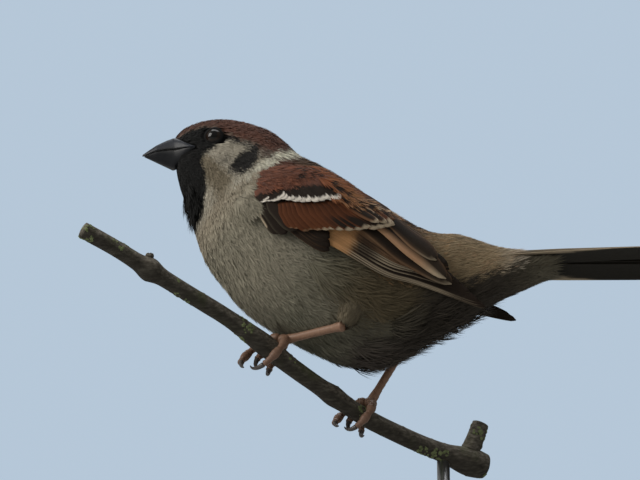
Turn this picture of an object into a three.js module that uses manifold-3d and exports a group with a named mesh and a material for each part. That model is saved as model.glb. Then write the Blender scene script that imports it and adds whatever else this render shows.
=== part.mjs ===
// Eurasian tree sparrow, life size, gripping a cut length of twig on a plain display stand.
// Millimetres, +Z up. The bird faces -X and its left side is -Y.
// The origin is the centre of the stand's underside. The bird and twig are drawn in the specimen's own frame,
// whose zero lies inside the body, and lifted onto the stand.
import * as THREE from "three";
import { mergeVertices } from "three/addons/utils/BufferGeometryUtils.js";
import Module from "manifold-3d";

const wasm = await Module();
wasm.setup();

// ---- driving dimensions ----
const specimenPlace = new THREE.Vector3(-14, -4, 115); // the specimen's zero, seen from the stand's underside
const gap = 0.3; // between pieces that meet
const headTurn = THREE.MathUtils.degToRad(8); // towards the bird's left
const tailRoll = THREE.MathUtils.degToRad(-18); // lifts the tail's left edge
const neckPivot = new THREE.Vector3(-8, 0, 0);
const tailAxis = new THREE.Vector3(50, 0, -3.6); // the roll turns about the line through here along X
const bodySides = 18; // facets round the body
const vaneThickness = 0.6;
const eyeRadius = 2.45;
const eyeCentre = new THREE.Vector3(-22.1, 5.75, 26.8); // the right eye, before the head turns
const baseRadius = 42;
const baseHeight = 8;
const rodRadius = 1.6;
// the longest primaries' ends, as [station, degrees] on the surface that the wings lie on
const wingTips = { left: [16.6, 92], right: [17.9, 83.5] };

// Cross-sections of the plumage's outer surface: ellipses, each between a point on the back and one on the belly.
const bodySections = [
  { at: "bill base", back: [-31.7, 28.6], belly: [-31.2, 19.9], half: 3.5 },
  { at: "forehead", back: [-28.9, 31.2], belly: [-30.6, 17.0], half: 5.3 },
  { at: "lores", back: [-24.5, 33.0], belly: [-29.9, 14.4], half: 6.7 },
  { at: "eye", back: [-20.0, 33.6], belly: [-29.0, 12.1], half: 7.8 },
  { at: "ear", back: [-15.4, 33.3], belly: [-28.0, 9.3], half: 8.9 },
  { at: "hind crown", back: [-11.2, 32.3], belly: [-27.1, 6.2], half: 9.8 },
  { at: "nape", back: [-7.2, 30.8], belly: [-26.0, 2.8], half: 11.0 },
  { at: "lower nape", back: [-3.6, 28.0], belly: [-24.7, -0.9], half: 12.6 },
  { at: "collar", back: [0.2, 24.4], belly: [-22.6, -5.0], half: 14.2 },
  { at: "mantle", back: [6.0, 21.4], belly: [-19.0, -9.8], half: 15.6 },
  { at: "breast", back: [12.5, 17.3], belly: [-13.5, -16.2], half: 16.4 },
  { at: "mid back", back: [18.4, 12.9], belly: [-6.0, -21.4], half: 16.6 },
  { at: "belly", back: [24.0, 9.2], belly: [2.5, -26.0], half: 16.0 },
  { at: "thighs", back: [29.5, 5.9], belly: [11.0, -29.6], half: 14.6 },
  { at: "lower back", back: [34.5, 4.2], belly: [20.0, -29.2], half: 12.6 },
  { at: "rump", back: [40.0, 3.9], belly: [29.5, -24.5], half: 10.2 },
  { at: "vent", back: [45.5, 2.0], belly: [39.0, -20.0], half: 8.2 },
  { at: "upper tail coverts", back: [51.0, 0.3], belly: [48.0, -14.2], half: 6.8 },
  { at: "under tail coverts", back: [56.0, -0.4], belly: [56.0, -10.2], half: 6.0 },
  { at: "coverts' end", back: [61.0, -0.5], belly: [61.6, -7.2], half: 5.7 },
];

// The surface that the closed wings lie on: the body's own to the thighs, then straight on past the rump.
const wingSections = bodySections.slice(0, 14).concat([
  { at: "tertial tips", back: [34.5, 4.6], belly: [19.6, -30.2], half: 12.9 },
  { at: "secondary tips", back: [40.0, 3.6], belly: [28.0, -31.4], half: 11.2 },
  { at: "primaries", back: [45.5, 2.4], belly: [36.4, -33.0], half: 9.7 },
  { at: "primary tips", back: [51.6, 1.0], belly: [43.6, -34.6], half: 8.6 },
  { at: "past the wing", back: [57.6, -0.4], belly: [50.8, -36.2], half: 7.6 },
]);

// ---- solids ----
function toSolid(geometry) {
  const bare = geometry.clone();
  bare.deleteAttribute("normal");
  bare.deleteAttribute("uv");
  const merged = mergeVertices(bare, 1e-4);
  const positions = merged.attributes.position.array;
  return new wasm.Manifold(
    new wasm.Mesh({ numProp: 3, vertProperties: positions, triVerts: new Uint32Array(merged.index.array) }),
  );
}

function toGeometry(solid) {
  const mesh = solid.getMesh();
  const geometry = new THREE.BufferGeometry();
  geometry.setAttribute("position", new THREE.BufferAttribute(new Float32Array(mesh.vertProperties), 3));
  geometry.setIndex(new THREE.BufferAttribute(new Uint32Array(mesh.triVerts), 1));
  return geometry;
}

const joined = (geometries) => toGeometry(geometries.map(toSolid).reduce((a, b) => a.add(b)));
const cut = (geometry, ...tools) =>
  toGeometry(tools.map(toSolid).reduce((a, b) => a.subtract(b), toSolid(geometry)));

// A closed surface through rings of equal count, its two ends closed by fans, always facing out.
function throughRings(rings) {
  const count = rings[0].length;
  const points = rings.flat();
  const faces = [];
  for (let r = 0; r + 1 < rings.length; r++)
    for (let i = 0; i < count; i++) {
      const a = r * count + i;
      const b = r * count + ((i + 1) % count);
      faces.push([a, b, b + count], [a, b + count, a + count]);
    }
  for (const [ring, flip] of [[0, true], [rings.length - 1, false]]) {
    const middle = rings[ring].reduce((sum, p) => sum.add(p), new THREE.Vector3()).divideScalar(count);
    const hub = points.push(middle) - 1;
    for (let i = 0; i < count; i++) {
      const a = ring * count + i;
      const b = ring * count + ((i + 1) % count);
      faces.push(flip ? [hub, b, a] : [hub, a, b]);
    }
  }
  const volume = faces.reduce((sum, [a, b, c]) => sum + points[a].dot(points[b].clone().cross(points[c])), 0);
  const geometry = new THREE.BufferGeometry().setFromPoints(points);
  geometry.setIndex(faces.flatMap(([a, b, c]) => (volume > 0 ? [a, b, c] : [a, c, b])));
  return geometry;
}

// A round tube along a curve, its radius given by a function of the share of the way along.
function tube(curve, radiusAt, steps, sides) {
  const frames = curve.computeFrenetFrames(steps, false);
  const rings = [];
  for (let k = 0; k <= steps; k++) {
    const middle = curve.getPointAt(k / steps);
    const radius = radiusAt(k / steps);
    rings.push(
      Array.from({ length: sides }, (_, i) => {
        const turn = (i / sides) * 2 * Math.PI;
        return middle
          .clone()
          .addScaledVector(frames.normals[k], radius * Math.cos(turn))
          .addScaledVector(frames.binormals[k], radius * Math.sin(turn));
      }),
    );
  }
  return throughRings(rings);
}

const curveThrough = (points) => new THREE.CatmullRomCurve3(points.map((p) => new THREE.Vector3(...p)));
const between = THREE.MathUtils.lerp;
const smooth = THREE.MathUtils.smoothstep;

// ---- the body's surface ----
function sectionAt(sections, station) {
  const last = sections.length - 1;
  const k = Math.min(Math.floor(station), last - 1);
  const t = station - k;
  const numbers = (i) => {
    const { back, belly, half } = sections[THREE.MathUtils.clamp(i, 0, last)];
    return [...back, ...belly, half];
  };
  const [p0, p1, p2, p3] = [numbers(k - 1), numbers(k), numbers(k + 1), numbers(k + 2)];
  return p1.map((_, i) => {
    const slope1 = (p2[i] - p0[i]) / 2;
    const slope2 = (p3[i] - p1[i]) / 2;
    const rise = p2[i] - p1[i];
    return p1[i] + t * (slope1 + t * (3 * rise - 2 * slope1 - slope2 + t * (slope1 + slope2 - 2 * rise)));
  });
}

// Turns the head a little to the left and rolls the tail, both fading out towards the trunk.
function posed(point, station) {
  const turn = headTurn * (1 - smooth(station, 3.5, 8.5));
  const roll = tailRoll * smooth(station, 14.5, 19);
  point.sub(neckPivot).applyAxisAngle(new THREE.Vector3(0, 0, 1), turn).add(neckPivot);
  return point.sub(tailAxis).applyAxisAngle(new THREE.Vector3(1, 0, 0), roll).add(tailAxis);
}

// A point on a lofted surface. The angle runs from the back, 0, down the right side (positive) or the left.
function onSurface(sections, station, degrees, lift = 0) {
  const [backX, backZ, bellyX, bellyZ, half] = sectionAt(sections, station);
  const up = new THREE.Vector3(backX - bellyX, 0, backZ - bellyZ);
  const tall = up.length() / 2;
  const angle = THREE.MathUtils.degToRad(degrees);
  const point = new THREE.Vector3((backX + bellyX) / 2, 0, (backZ + bellyZ) / 2);
  point.addScaledVector(up.normalize(), (tall + lift) * Math.cos(angle));
  point.y += (half + lift) * Math.sin(angle);
  return point;
}

function bodyPiece(from, to, steps) {
  const rings = [];
  for (let k = 0; k <= steps; k++) {
    const station = between(from, to, k / steps);
    rings.push(
      Array.from({ length: bodySides }, (_, i) => {
        const degrees = ((i + 0.5) / bodySides) * 360;
        return posed(onSurface(bodySections, station, degrees), station);
      }),
    );
  }
  return throughRings(rings);
}

// ---- head ----
const gapInStations = 0.08;
const mirrored = (point, side) => new THREE.Vector3(point.x, point.y * side, point.z);
const eyePlace = (side) => posed(mirrored(eyeCentre, side), 0);

function headSolid() {
  const sockets = [-1, 1].map((side) => {
    const place = eyePlace(side);
    return new THREE.SphereGeometry(eyeRadius + gap, 12, 7).translate(place.x, place.y, place.z);
  });
  return cut(bodyPiece(0, 5.6, 9), ...sockets);
}

const eyeball = () => new THREE.SphereGeometry(eyeRadius, 12, 7);

const billTip = new THREE.Vector3(-39.8, 0, 23.2);
const billBack = -31.6 - gap - 0.1;
const biteHeight = 24.1; // of the cutting edges at the back of the bill

// Half of the bill from its ridge, as [x, z], and its half widths, as [x, y].
// The section is an arch over a flat bite.
function mandible(ridgePoints, edgeHeight, widthPoints) {
  const ridge = new THREE.SplineCurve(ridgePoints.map((p) => new THREE.Vector2(...p)));
  const widths = new THREE.SplineCurve(widthPoints.map((p) => new THREE.Vector2(...p)));
  const steps = ridgePoints.length * 2;
  const rings = [];
  for (let k = 0; k <= steps; k++) {
    const share = k / steps;
    const top = ridge.getPoint(share);
    const half = widths.getPoint(share).y;
    const edge = between(edgeHeight, billTip.z + Math.sign(top.y - edgeHeight) * 0.14, share ** 2);
    rings.push(
      [0, 30, 60, 90, 120, 150, 180].map((degrees) => {
        const angle = THREE.MathUtils.degToRad(degrees);
        const height = edge + (top.y - edge) * Math.sin(angle);
        return posed(new THREE.Vector3(top.x, half * Math.cos(angle), height), 0);
      }),
    );
  }
  return throughRings(rings);
}

const upperBill = () =>
  mandible(
    [[billBack, 28.0], [-33.8, 27.35], [-36.4, 26.0], [-38.6, 24.4], [billTip.x, 23.45]],
    biteHeight,
    [[billBack, 3.3], [-33.8, 2.75], [-36.4, 1.9], [-38.6, 0.9], [billTip.x, 0.25]],
  );
const lowerBill = () =>
  mandible(
    [[billBack, 19.9], [-33.8, 20.6], [-36.4, 21.7], [-38.2, 22.45], [billTip.x + 0.5, 22.9]],
    biteHeight - gap,
    [[billBack, 3.1], [-33.8, 2.5], [-36.4, 1.7], [-38.2, 0.85], [billTip.x + 0.5, 0.25]],
  );

// ---- feathers of the wings and tail ----
// how wide a feather is along its length, as [share of the length, share of the full width]
const tailVaneHalf = 3.4;
const tailVaneTilt = 0.1;
const tailVaneOutline = [[0, 0.85], [0.55, 1], [0.93, 0.85], [1, 0.25]];
const wingVaneTilt = 0.12; // how much higher a vane's lower edge lies than its middle
const vaneOutline = [[0, 0.5], [0.3, 0.9], [0.7, 1], [0.92, 0.7], [1, 0.22]];

// One feather lying on the wing's surface, from a root to a tip given as [station, degrees], over the body by
// `lift`. Its middle bows towards the back by `bend` degrees.
function wingVane(side, { root, tip, half, lift, bend }) {
  const at = (share, ds = 0, da = 0, up = 0) => {
    const degrees = between(root[1], tip[1], share) - 4 * bend * share * (1 - share);
    return onSurface(wingSections, between(root[0], tip[0], share) + ds, degrees + da, up);
  };
  const rings = vaneOutline.map(([share, width]) => {
    const here = at(share);
    const alongStation = at(share, 0.05).sub(here).divideScalar(0.05);
    const alongAngle = at(share, 0, 1).sub(here);
    const normal = alongAngle.clone().cross(alongStation).normalize();
    const forward = at(Math.min(share + 0.02, 1.02)).sub(here).normalize();
    const across = normal.clone().cross(forward);
    // the across direction, told in stations and degrees, so that the vane bends with the body
    const a = alongStation.dot(alongStation);
    const b = alongStation.dot(alongAngle);
    const c = alongAngle.dot(alongAngle);
    const p = across.dot(alongStation);
    const q = across.dot(alongAngle);
    const stations = ((c * p - b * q) / (a * c - b * b)) * half * width;
    const degrees = ((a * q - b * p) / (a * c - b * b)) * half * width;
    const corner = (offset, up) => {
      const point = at(share, stations * offset, degrees * offset, lift + wingVaneTilt * offset + up);
      return new THREE.Vector3(point.x, point.y * side, point.z);
    };
    return [corner(-1, 0), corner(1, 0), corner(1, vaneThickness), corner(-1, vaneThickness)];
  });
  return throughRings(rings);
}

// A row of feathers whose roots and tips step evenly between the first and the last.
function vaneRow(side, count, first, last) {
  return joined(
    Array.from({ length: count }, (_, i) => {
      const share = i / (count - 1);
      const mix = (a, b) =>
        Array.isArray(a) ? a.map((value, j) => between(value, b[j], share)) : between(a, b, share);
      return wingVane(side, {
        root: mix(first.root, last.root),
        tip: mix(first.tip, last.tip),
        half: mix(first.half, last.half),
        lift: mix(first.lift, last.lift),
        bend: mix(first.bend, last.bend),
      });
    }),
  );
}

// Angles are for the right wing, and `side` mirrors them. `tip` is where the longest primary ends.
function wingParts(side, tip) {
  return {
    primaries: vaneRow(
      side,
      4,
      { root: [11.0, 77], tip: [14.9, 80], half: 2.7, lift: 0.75, bend: 3.5 },
      { root: [10.7, 84], tip, half: 1.9, lift: 0.55, bend: 5 },
    ),
    secondaries: vaneRow(
      side,
      3,
      { root: [11.0, 68], tip: [14.9, 75], half: 3.6, lift: 2.0, bend: 3 },
      { root: [11.1, 77], tip: [15.0, 81], half: 2.7, lift: 1.9, bend: 2 },
    ),
    tertials: vaneRow(
      side,
      3,
      { root: [11.6, 50], tip: [13.6, 57], half: 3.0, lift: 3.7, bend: 3 },
      { root: [11.8, 63], tip: [15.3, 81], half: 3.4, lift: 3.5, bend: 7 },
    ),
    coverts: vaneRow(
      side,
      4,
      { root: [9.8, 60], tip: [11.4, 58], half: 3.5, lift: 3.3, bend: 0 },
      { root: [9.0, 85], tip: [10.8, 86], half: 3.0, lift: 3.1, bend: 0 },
    ),
    shoulder: shoulder(side),
  };
}

// The lesser and median coverts with the shoulder feathers: a low dome over the wing's front.
function shoulder(side) {
  const middle = [9.35, 60];
  const spread = [1.65, 25];
  const hollow = 0.15; // share of the way out from the middle where the rings begin
  const skirt = 0.97; // and where the upper side ends
  const rise = 1.65;
  const rimHeight = 0.2;
  const steps = 4;
  const sides = 16;
  const rim = (share, up) =>
    Array.from({ length: sides }, (_, i) => {
      const turn = (i / sides) * 2 * Math.PI;
      const station = middle[0] + spread[0] * share * Math.cos(turn);
      const point = onSurface(wingSections, station, middle[1] + spread[1] * share * Math.sin(turn), up);
      return new THREE.Vector3(point.x, point.y * side, point.z);
    });
  const rings = [];
  for (let k = 0; k <= steps; k++) rings.push(rim(between(hollow, 1, k / steps), gap));
  for (let k = steps; k >= 0; k--) {
    const share = between(hollow, skirt, k / steps);
    rings.push(rim(share, gap + rimHeight + rise * Math.sqrt(1 - share ** 2)));
  }
  return throughRings(rings);
}

// Tail feathers in the tail's own frame: along +X from the root, the middle pair on top.
function tailSolid() {
  const pairs = 6;
  const feathers = [];
  for (let i = 0; i < pairs; i++)
    for (const side of [-1, 1]) {
      const out = i / (pairs - 1);
      const length = between(33.2, 34.6, out);
      const fan = side * THREE.MathUtils.degToRad(between(0.6, 3.2, out));
      const rootY = side * between(0.9, 3.0, out);
      const top = between(1.1, -1.1, out);
      const rings = tailVaneOutline.map(([share, width]) => {
        const half = tailVaneHalf * width;
        const x = length * share;
        const y = rootY + Math.tan(fan) * length * share;
        const droop = (offset) => top - tailVaneTilt * side * offset;
        return [
          new THREE.Vector3(x, y - half, droop(-1) - vaneThickness),
          new THREE.Vector3(x, y + half, droop(1) - vaneThickness),
          new THREE.Vector3(x, y + half, droop(1)),
          new THREE.Vector3(x, y - half, droop(-1)),
        ];
      });
      feathers.push(throughRings(rings));
    }
  return joined(feathers);
}

// ---- twig ----
const twigLine = curveThrough([
  [-50.0, -30.4, -3.1],
  [-44.1, -26.9, -5.8],
  [-35.1, -21.7, -10.5],
  [-25.9, -16.4, -15.3],
  [-16.6, -11.2, -20.2],
  [-9.0, -7.0, -25.1],
  [-2.3, -3.4, -29.9],
  [7.5, 1.8, -36.0],
  [16.1, 6.4, -41.0],
  [24.9, 11.0, -44.7],
  [35.2, 16.2, -48.2],
  [46.5, 21.8, -51.1],
]);
// thick places along the twig: share of its length, how far the swelling spreads, and how much it adds
const swellings = [
  { share: 0.155, spread: 0.02, add: 0.9 },
  { share: 0.44, spread: 0.05, add: 0.55 },
  { share: 0.62, spread: 0.02, add: 0.35 },
  { share: 0.97, spread: 0.05, add: 1.3 },
];
const twigRadius = (share) =>
  swellings.reduce(
    (radius, { share: middle, spread, add }) => radius + add * Math.exp(-(((share - middle) / spread) ** 2)),
    between(1.9, 2.35, share),
  );
const twigLength = twigLine.getLength();
const stubShare = 0.955; // where a side twig was cut off

function twigSolid(lift = 0) {
  const stem = tube(twigLine, (share) => twigRadius(share) + lift, 24, 8);
  const start = twigLine.getPointAt(stubShare);
  const stub = curveThrough([
    start.toArray(),
    [start.x + 2.2, start.y + 0.8, start.z + 4.5],
    [start.x + 4.2, start.y + 1.6, start.z + 9.5],
  ]);
  const budPlace = twigLine.getPointAt(0.155);
  const bud = new THREE.SphereGeometry(1.5 + lift, 8, 6).translate(budPlace.x, budPlace.y - 0.6, budPlace.z + 2.6);
  return joined([stem, tube(stub, (share) => between(2.5, 2.1, share) + lift, 3, 7), bud]);
}

// ---- legs ----
// `grip` is the share of the twig's length where the foot holds it, and `hang` how loosely the toes do.
const legs = {
  left: { heel: [10.4, -14.2, -22.4], knee: [15, -8.6, -13], grip: 0.468, hang: 1.7 },
  right: { heel: [27.4, 10.2, -20.6], knee: [22.5, 8.6, -12], grip: 0.703, hang: 0.9 },
};
const shankRadius = 1.0;
const toeRadius = 1.05;
const solePad = 1.55;
// Each toe starts on top of the twig and wraps down one side, and its claw carries on from there. Each entry is
// the turn round the twig in degrees (positive over the far side), the shift along it, and the slack under it.
const toes = {
  hind: { root: [-12, 0, 0], tip: [-146, -2.0, 1.5], clawTip: [-196, -3.2, 1.2] },
  inner: { root: [16, -0.2, 0], tip: [116, -1.8, 0.4], clawTip: [172, -1.6, 0.7] },
  middle: { root: [8, -1.2, 0], tip: [158, -5.6, 1.6], clawTip: [186, -5.4, 2.6] },
  outer: { root: [14, 1.0, 0], tip: [126, 2.0, 0.4], clawTip: [180, 1.6, 0.7] },
};

// A point beside the twig: `degrees` from its top over its far side, at `out` from its axis.
function besideTwig(grip, shift, degrees, out) {
  const share = grip + shift / twigLength;
  const along = twigLine.getTangentAt(share);
  const far = new THREE.Vector3(0, 0, 1).cross(along).normalize();
  const up = along.clone().cross(far).normalize();
  const angle = THREE.MathUtils.degToRad(degrees);
  return twigLine
    .getPointAt(share)
    .addScaledVector(up, out * Math.cos(angle))
    .addScaledVector(far, out * Math.sin(angle));
}

function gripPath({ grip, hang }, from, to, bow = 0) {
  const points = [];
  for (let k = 0; k <= 8; k++) {
    const share = k / 8;
    const [degrees, shift] = [0, 1].map((i) => between(from[i], to[i], share));
    const slack = hang * between(from[2], to[2], share ** 1.5) + bow * Math.sin(share * Math.PI);
    const twig = twigRadius(grip + shift / twigLength);
    points.push(besideTwig(grip, shift, degrees, twig + toeRadius + gap + 0.1 + slack));
  }
  return new THREE.CatmullRomCurve3(points);
}

// The drumstick and the bare shank, both grown by `lift`.
function thighSolid({ heel, knee }, lift = 0) {
  const from = new THREE.Vector3(...knee);
  const to = new THREE.Vector3(...heel).lerp(from, 0.13);
  const inward = from.clone().sub(to).normalize();
  const line = new THREE.LineCurve3(from.addScaledVector(inward, lift), to.addScaledVector(inward, -lift));
  return tube(line, (share) => between(5.2, 1.7, share ** 1.3) + lift, 5, 10);
}

function shankSolid({ heel }, sole, lift = 0) {
  const top = new THREE.Vector3(...heel);
  const upward = top.clone().sub(sole).normalize();
  const bottom = sole.clone().lerp(top, 0.14).addScaledVector(upward, gap);
  const heelEnd = sole.clone().lerp(top, 0.96).addScaledVector(upward, lift);
  const line = new THREE.LineCurve3(bottom, heelEnd);
  const radiusAt = (share) => shankRadius * (1 + 0.25 * (1 - smooth(share, 0, 0.2)) + 0.3 * smooth(share, 0.82, 1));
  return tube(line, (share) => radiusAt(share) + lift, 6, 8);
}

const soleOf = ({ grip }) => besideTwig(grip, 0, 0, twigRadius(grip) + solePad + 0.1);

function footSolid(leg, sole) {
  const ankle = sole.clone().lerp(new THREE.Vector3(...leg.heel), 0.14);
  const stub = tube(new THREE.LineCurve3(sole, ankle), () => shankRadius * 1.25, 2, 8);
  const pad = new THREE.SphereGeometry(solePad, 8, 5).translate(sole.x, sole.y, sole.z);
  const joints = (share) => toeRadius * (1.08 - 0.24 * share + 0.1 * Math.sin(share * 19));
  const bareToes = Object.values(toes).map(({ root, tip }) => tube(gripPath(leg, root, tip), joints, 5, 5));
  return joined([stub, pad, ...bareToes]);
}

// A claw starts just past the end of its toe.
function clawSolid(leg, { root, tip, clawTip }) {
  const reach = Math.abs(tip[0] - root[0]);
  const start = tip.map((value, i) => value + (i < 2 ? ((value - root[i]) * 9) / reach : 0));
  return tube(gripPath(leg, start, clawTip, 0.35), (share) => between(0.6, 0.16, share), 5, 5);
}

// ---- stand ----
function standParts() {
  const place = twigLine.getPointAt(0.9).add(specimenPlace);
  const bevel = 1.2;
  const profile = [
    [0, 0],
    [baseRadius - bevel / 2, 0],
    [baseRadius, bevel / 2],
    [baseRadius, baseHeight - bevel],
    [baseRadius - bevel * 0.4, baseHeight - bevel * 0.4],
    [baseRadius - bevel, baseHeight],
    [0, baseHeight],
  ];
  const base = new THREE.LatheGeometry(profile.map(([r, z]) => new THREE.Vector2(r, z)), 28).rotateX(Math.PI / 2);
  const collarHeight = 3;
  const collar = new THREE.CylinderGeometry(3.2, 4.2, collarHeight, 20).rotateX(Math.PI / 2);
  collar.translate(place.x, place.y, baseHeight + gap + collarHeight / 2);
  const bottom = baseHeight + gap;
  const rod = new THREE.CylinderGeometry(rodRadius, rodRadius, place.z - bottom, 14).rotateX(Math.PI / 2);
  rod.translate(place.x, place.y, (place.z + bottom) / 2);
  const wideRod = new THREE.CylinderGeometry(rodRadius + gap, rodRadius + gap, 20, 14).rotateX(Math.PI / 2);
  wideRod.translate(place.x, place.y, bottom + 5);
  const thickTwig = twigSolid(gap).translate(specimenPlace.x, specimenPlace.y, specimenPlace.z);
  return { stand_base: base, stand_collar: cut(collar, wideRod), stand_rod: cut(rod, thickTwig) };
}

// ---- materials ----
const paint = (color, roughness = 0.85, metalness = 0) =>
  new THREE.MeshStandardMaterial({ color, roughness, metalness });
const chestnut = paint("#6e4030");
const blackBrown = paint("#3b3330");
const paleGrey = paint("#a79f90");
const greyBrown = paint("#75685a");
const slateHorn = paint("#2e3238", 0.45);
const pinkBrown = paint("#a9735c", 0.6);
const clawHorn = paint("#5a5554", 0.4);
const glossBlack = paint("#120e0c", 0.08);
const bark = paint("#4b4235");
const darkWood = paint("#2b211b", 0.5);
const steel = paint("#8f9194", 0.35, 1);

// ---- the model ----
const model = new THREE.Group();
const specimen = new THREE.Group();
specimen.position.copy(specimenPlace);
model.add(specimen);

function add(parent, name, geometry, material) {
  const mesh = new THREE.Mesh(geometry, material);
  mesh.name = name;
  parent.add(mesh);
  return mesh;
}

add(specimen, "head", headSolid(), chestnut);
add(specimen, "neck", bodyPiece(5.6 + gapInStations, 7.9, 3), paleGrey);
add(specimen, "bill_upper", upperBill(), slateHorn);
add(specimen, "bill_lower", lowerBill(), slateHorn);
for (const [name, side] of [["left", -1], ["right", 1]]) {
  add(specimen, `eye_${name}`, eyeball(), glossBlack).position.copy(eyePlace(side));
}

// The flesh above each leg has a pocket for the drumstick and the top of the shank.
const pocketWall = gap + 0.15;
const legPockets = Object.values(legs).flatMap((leg) => [
  thighSolid(leg, pocketWall),
  shankSolid(leg, soleOf(leg), pocketWall),
]);
add(specimen, "trunk", cut(bodyPiece(7.9 + gapInStations, 15, 9), ...legPockets), paleGrey);
add(specimen, "rump", bodyPiece(15 + gapInStations, 19, 5), greyBrown);
const tail = add(specimen, "tail", tailSolid(), blackBrown);
tail.position.set(61.9, 0, -2.6);
tail.rotation.set(tailRoll, -THREE.MathUtils.degToRad(1.5), 0, "YXZ");

for (const [name, side] of [["left", -1], ["right", 1]]) {
  for (const [part, geometry] of Object.entries(wingParts(side, wingTips[name]))) {
    add(specimen, `wing_${name}_${part}`, geometry, part === "shoulder" ? chestnut : blackBrown);
  }
}

for (const [name, leg] of Object.entries(legs)) {
  const sole = soleOf(leg);
  add(specimen, `thigh_${name}`, thighSolid(leg), paleGrey);
  add(specimen, `tarsus_${name}`, shankSolid(leg, sole), pinkBrown);
  add(specimen, `foot_${name}`, footSolid(leg, sole), pinkBrown);
  for (const [toeName, toe] of Object.entries(toes)) {
    add(specimen, `claw_${name}_${toeName}`, clawSolid(leg, toe), clawHorn);
  }
}

add(specimen, "perch_twig", twigSolid(), bark);
const standMaterials = { stand_base: darkWood, stand_collar: steel, stand_rod: steel };
for (const [name, geometry] of Object.entries(standParts())) add(model, name, geometry, standMaterials[name]);

export default model;
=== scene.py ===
import math

import bmesh
import bpy
import numpy as np
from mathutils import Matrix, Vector
from mathutils.kdtree import KDTree


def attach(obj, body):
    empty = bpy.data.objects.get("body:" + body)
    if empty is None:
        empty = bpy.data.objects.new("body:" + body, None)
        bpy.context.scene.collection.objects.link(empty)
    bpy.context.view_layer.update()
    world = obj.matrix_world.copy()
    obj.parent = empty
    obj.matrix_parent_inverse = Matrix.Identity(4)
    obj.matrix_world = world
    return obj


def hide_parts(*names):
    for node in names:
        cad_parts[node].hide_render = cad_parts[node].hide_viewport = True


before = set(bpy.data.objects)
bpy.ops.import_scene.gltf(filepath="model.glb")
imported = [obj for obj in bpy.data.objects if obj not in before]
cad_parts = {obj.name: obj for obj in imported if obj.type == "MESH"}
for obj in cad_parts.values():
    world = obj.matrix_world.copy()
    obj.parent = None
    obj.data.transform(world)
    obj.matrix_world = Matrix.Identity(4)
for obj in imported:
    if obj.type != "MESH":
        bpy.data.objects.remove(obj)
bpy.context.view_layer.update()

# A tree sparrow on a cut twig. Shapes are worked out in millimetres in the specimen's own frame, whose zero
# lies inside the body, and moved to the stand's frame in metres at the end.
mm = 0.001
specimenPlace = np.array((-14.0, -4.0, 115.0))
# the head is turned and the tail rolled, each over a run of stations along the body
headTurn, neckRun, neckPivot = math.radians(8), (3.5, 8.5), np.array((-8.0, 0.0, 0.0))
tailRoll, rumpRun, tailAxis = math.radians(-18), (14.5, 19), np.array((50.0, 0.0, -3.6))
eyeCentre = np.array((-22.1, 5.75, 26.8))
eyeRadius = 2.45

# the plumage's outer surface: back x, z, belly x, z and half width of each cross-section, bill to tail
bodySections = np.array([
    (-31.7, 28.6, -31.2, 19.9, 3.5),
    (-28.9, 31.2, -30.6, 17.0, 5.3),
    (-24.5, 33.0, -29.9, 14.4, 6.7),
    (-20.0, 33.6, -29.0, 12.1, 7.8),
    (-15.4, 33.3, -28.0, 9.3, 8.9),
    (-11.2, 32.3, -27.1, 6.2, 9.8),
    (-7.2, 30.8, -26.0, 2.8, 11.0),
    (-3.6, 28.0, -24.7, -0.9, 12.6),
    (0.2, 24.4, -22.6, -5.0, 14.2),
    (6.0, 21.4, -19.0, -9.8, 15.6),
    (12.5, 17.3, -13.5, -16.2, 16.4),
    (18.4, 12.9, -6.0, -21.4, 16.6),
    (24.0, 9.2, 2.5, -26.0, 16.0),
    (29.5, 5.9, 11.0, -29.6, 14.6),
    (34.5, 4.2, 20.0, -29.2, 12.6),
    (40.0, 3.9, 29.5, -24.5, 10.2),
    (45.5, 2.0, 39.0, -20.0, 8.2),
    (51.0, 0.3, 48.0, -14.2, 6.8),
    (56.0, -0.4, 56.0, -10.2, 6.0),
    (61.0, -0.5, 61.6, -7.2, 5.7),
    (66.5, -0.6, 67.0, -5.9, 6.0),
    (72.0, -1.0, 72.0, -5.2, 6.6),
])
lastStation = len(bodySections) - 1
# the surface that the closed wings lie on leaves the body behind the thighs
wingSections = np.vstack([bodySections[:14], [
    (34.5, 4.6, 19.6, -30.2, 12.9),
    (40.0, 3.6, 28.0, -31.4, 11.2),
    (45.5, 2.4, 36.4, -33.0, 9.7),
    (51.6, 1.0, 43.6, -34.6, 8.6),
    (57.6, -0.4, 50.8, -36.2, 7.6),
]])


def smooth(value, low, high):
    share = np.clip((value - low) / (high - low), 0, 1)
    return share * share * (3 - 2 * share)


def within(value, rise, full, fade, end):
    # 0 up to rise, 1 from full to fade, and 0 again from end
    return smooth(value, rise, full) * (1 - smooth(value, fade, end))


def mix(a, b, share):
    share = np.asarray(share)[..., None]
    return a * (1 - share) + b * share


def between(start, end, share):
    return start + (end - start) * share


def unit(vectors):
    return vectors / (np.linalg.norm(vectors, axis=-1, keepdims=True) + 1e-12)


def turns(count):
    return np.linspace(0, 2 * math.pi, count + 1)[:-1]


def sectionAt(table, station):
    # a smooth curve through the table's rows
    last = len(table) - 1
    k = np.clip(np.floor(station).astype(int), 0, last - 1)
    t = (station - k)[..., None]
    p0, p1, p2, p3 = (table[np.clip(k + step, 0, last)] for step in (-1, 0, 1, 2))
    slope1, slope2, rise = (p2 - p0) / 2, (p3 - p1) / 2, p2 - p1
    return p1 + t * (slope1 + t * (3 * rise - 2 * slope1 - slope2 + t * (slope1 + slope2 - 2 * rise)))


def rotated(points, axis, angle, pivot):
    # angle may differ from point to point
    c, s = np.cos(angle), np.sin(angle)
    p = points - pivot
    out = p.copy()
    i, j = {"X": (1, 2), "Z": (0, 1)}[axis]
    out[..., i] = c * p[..., i] - s * p[..., j]
    out[..., j] = s * p[..., i] + c * p[..., j]
    return out + pivot


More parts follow.
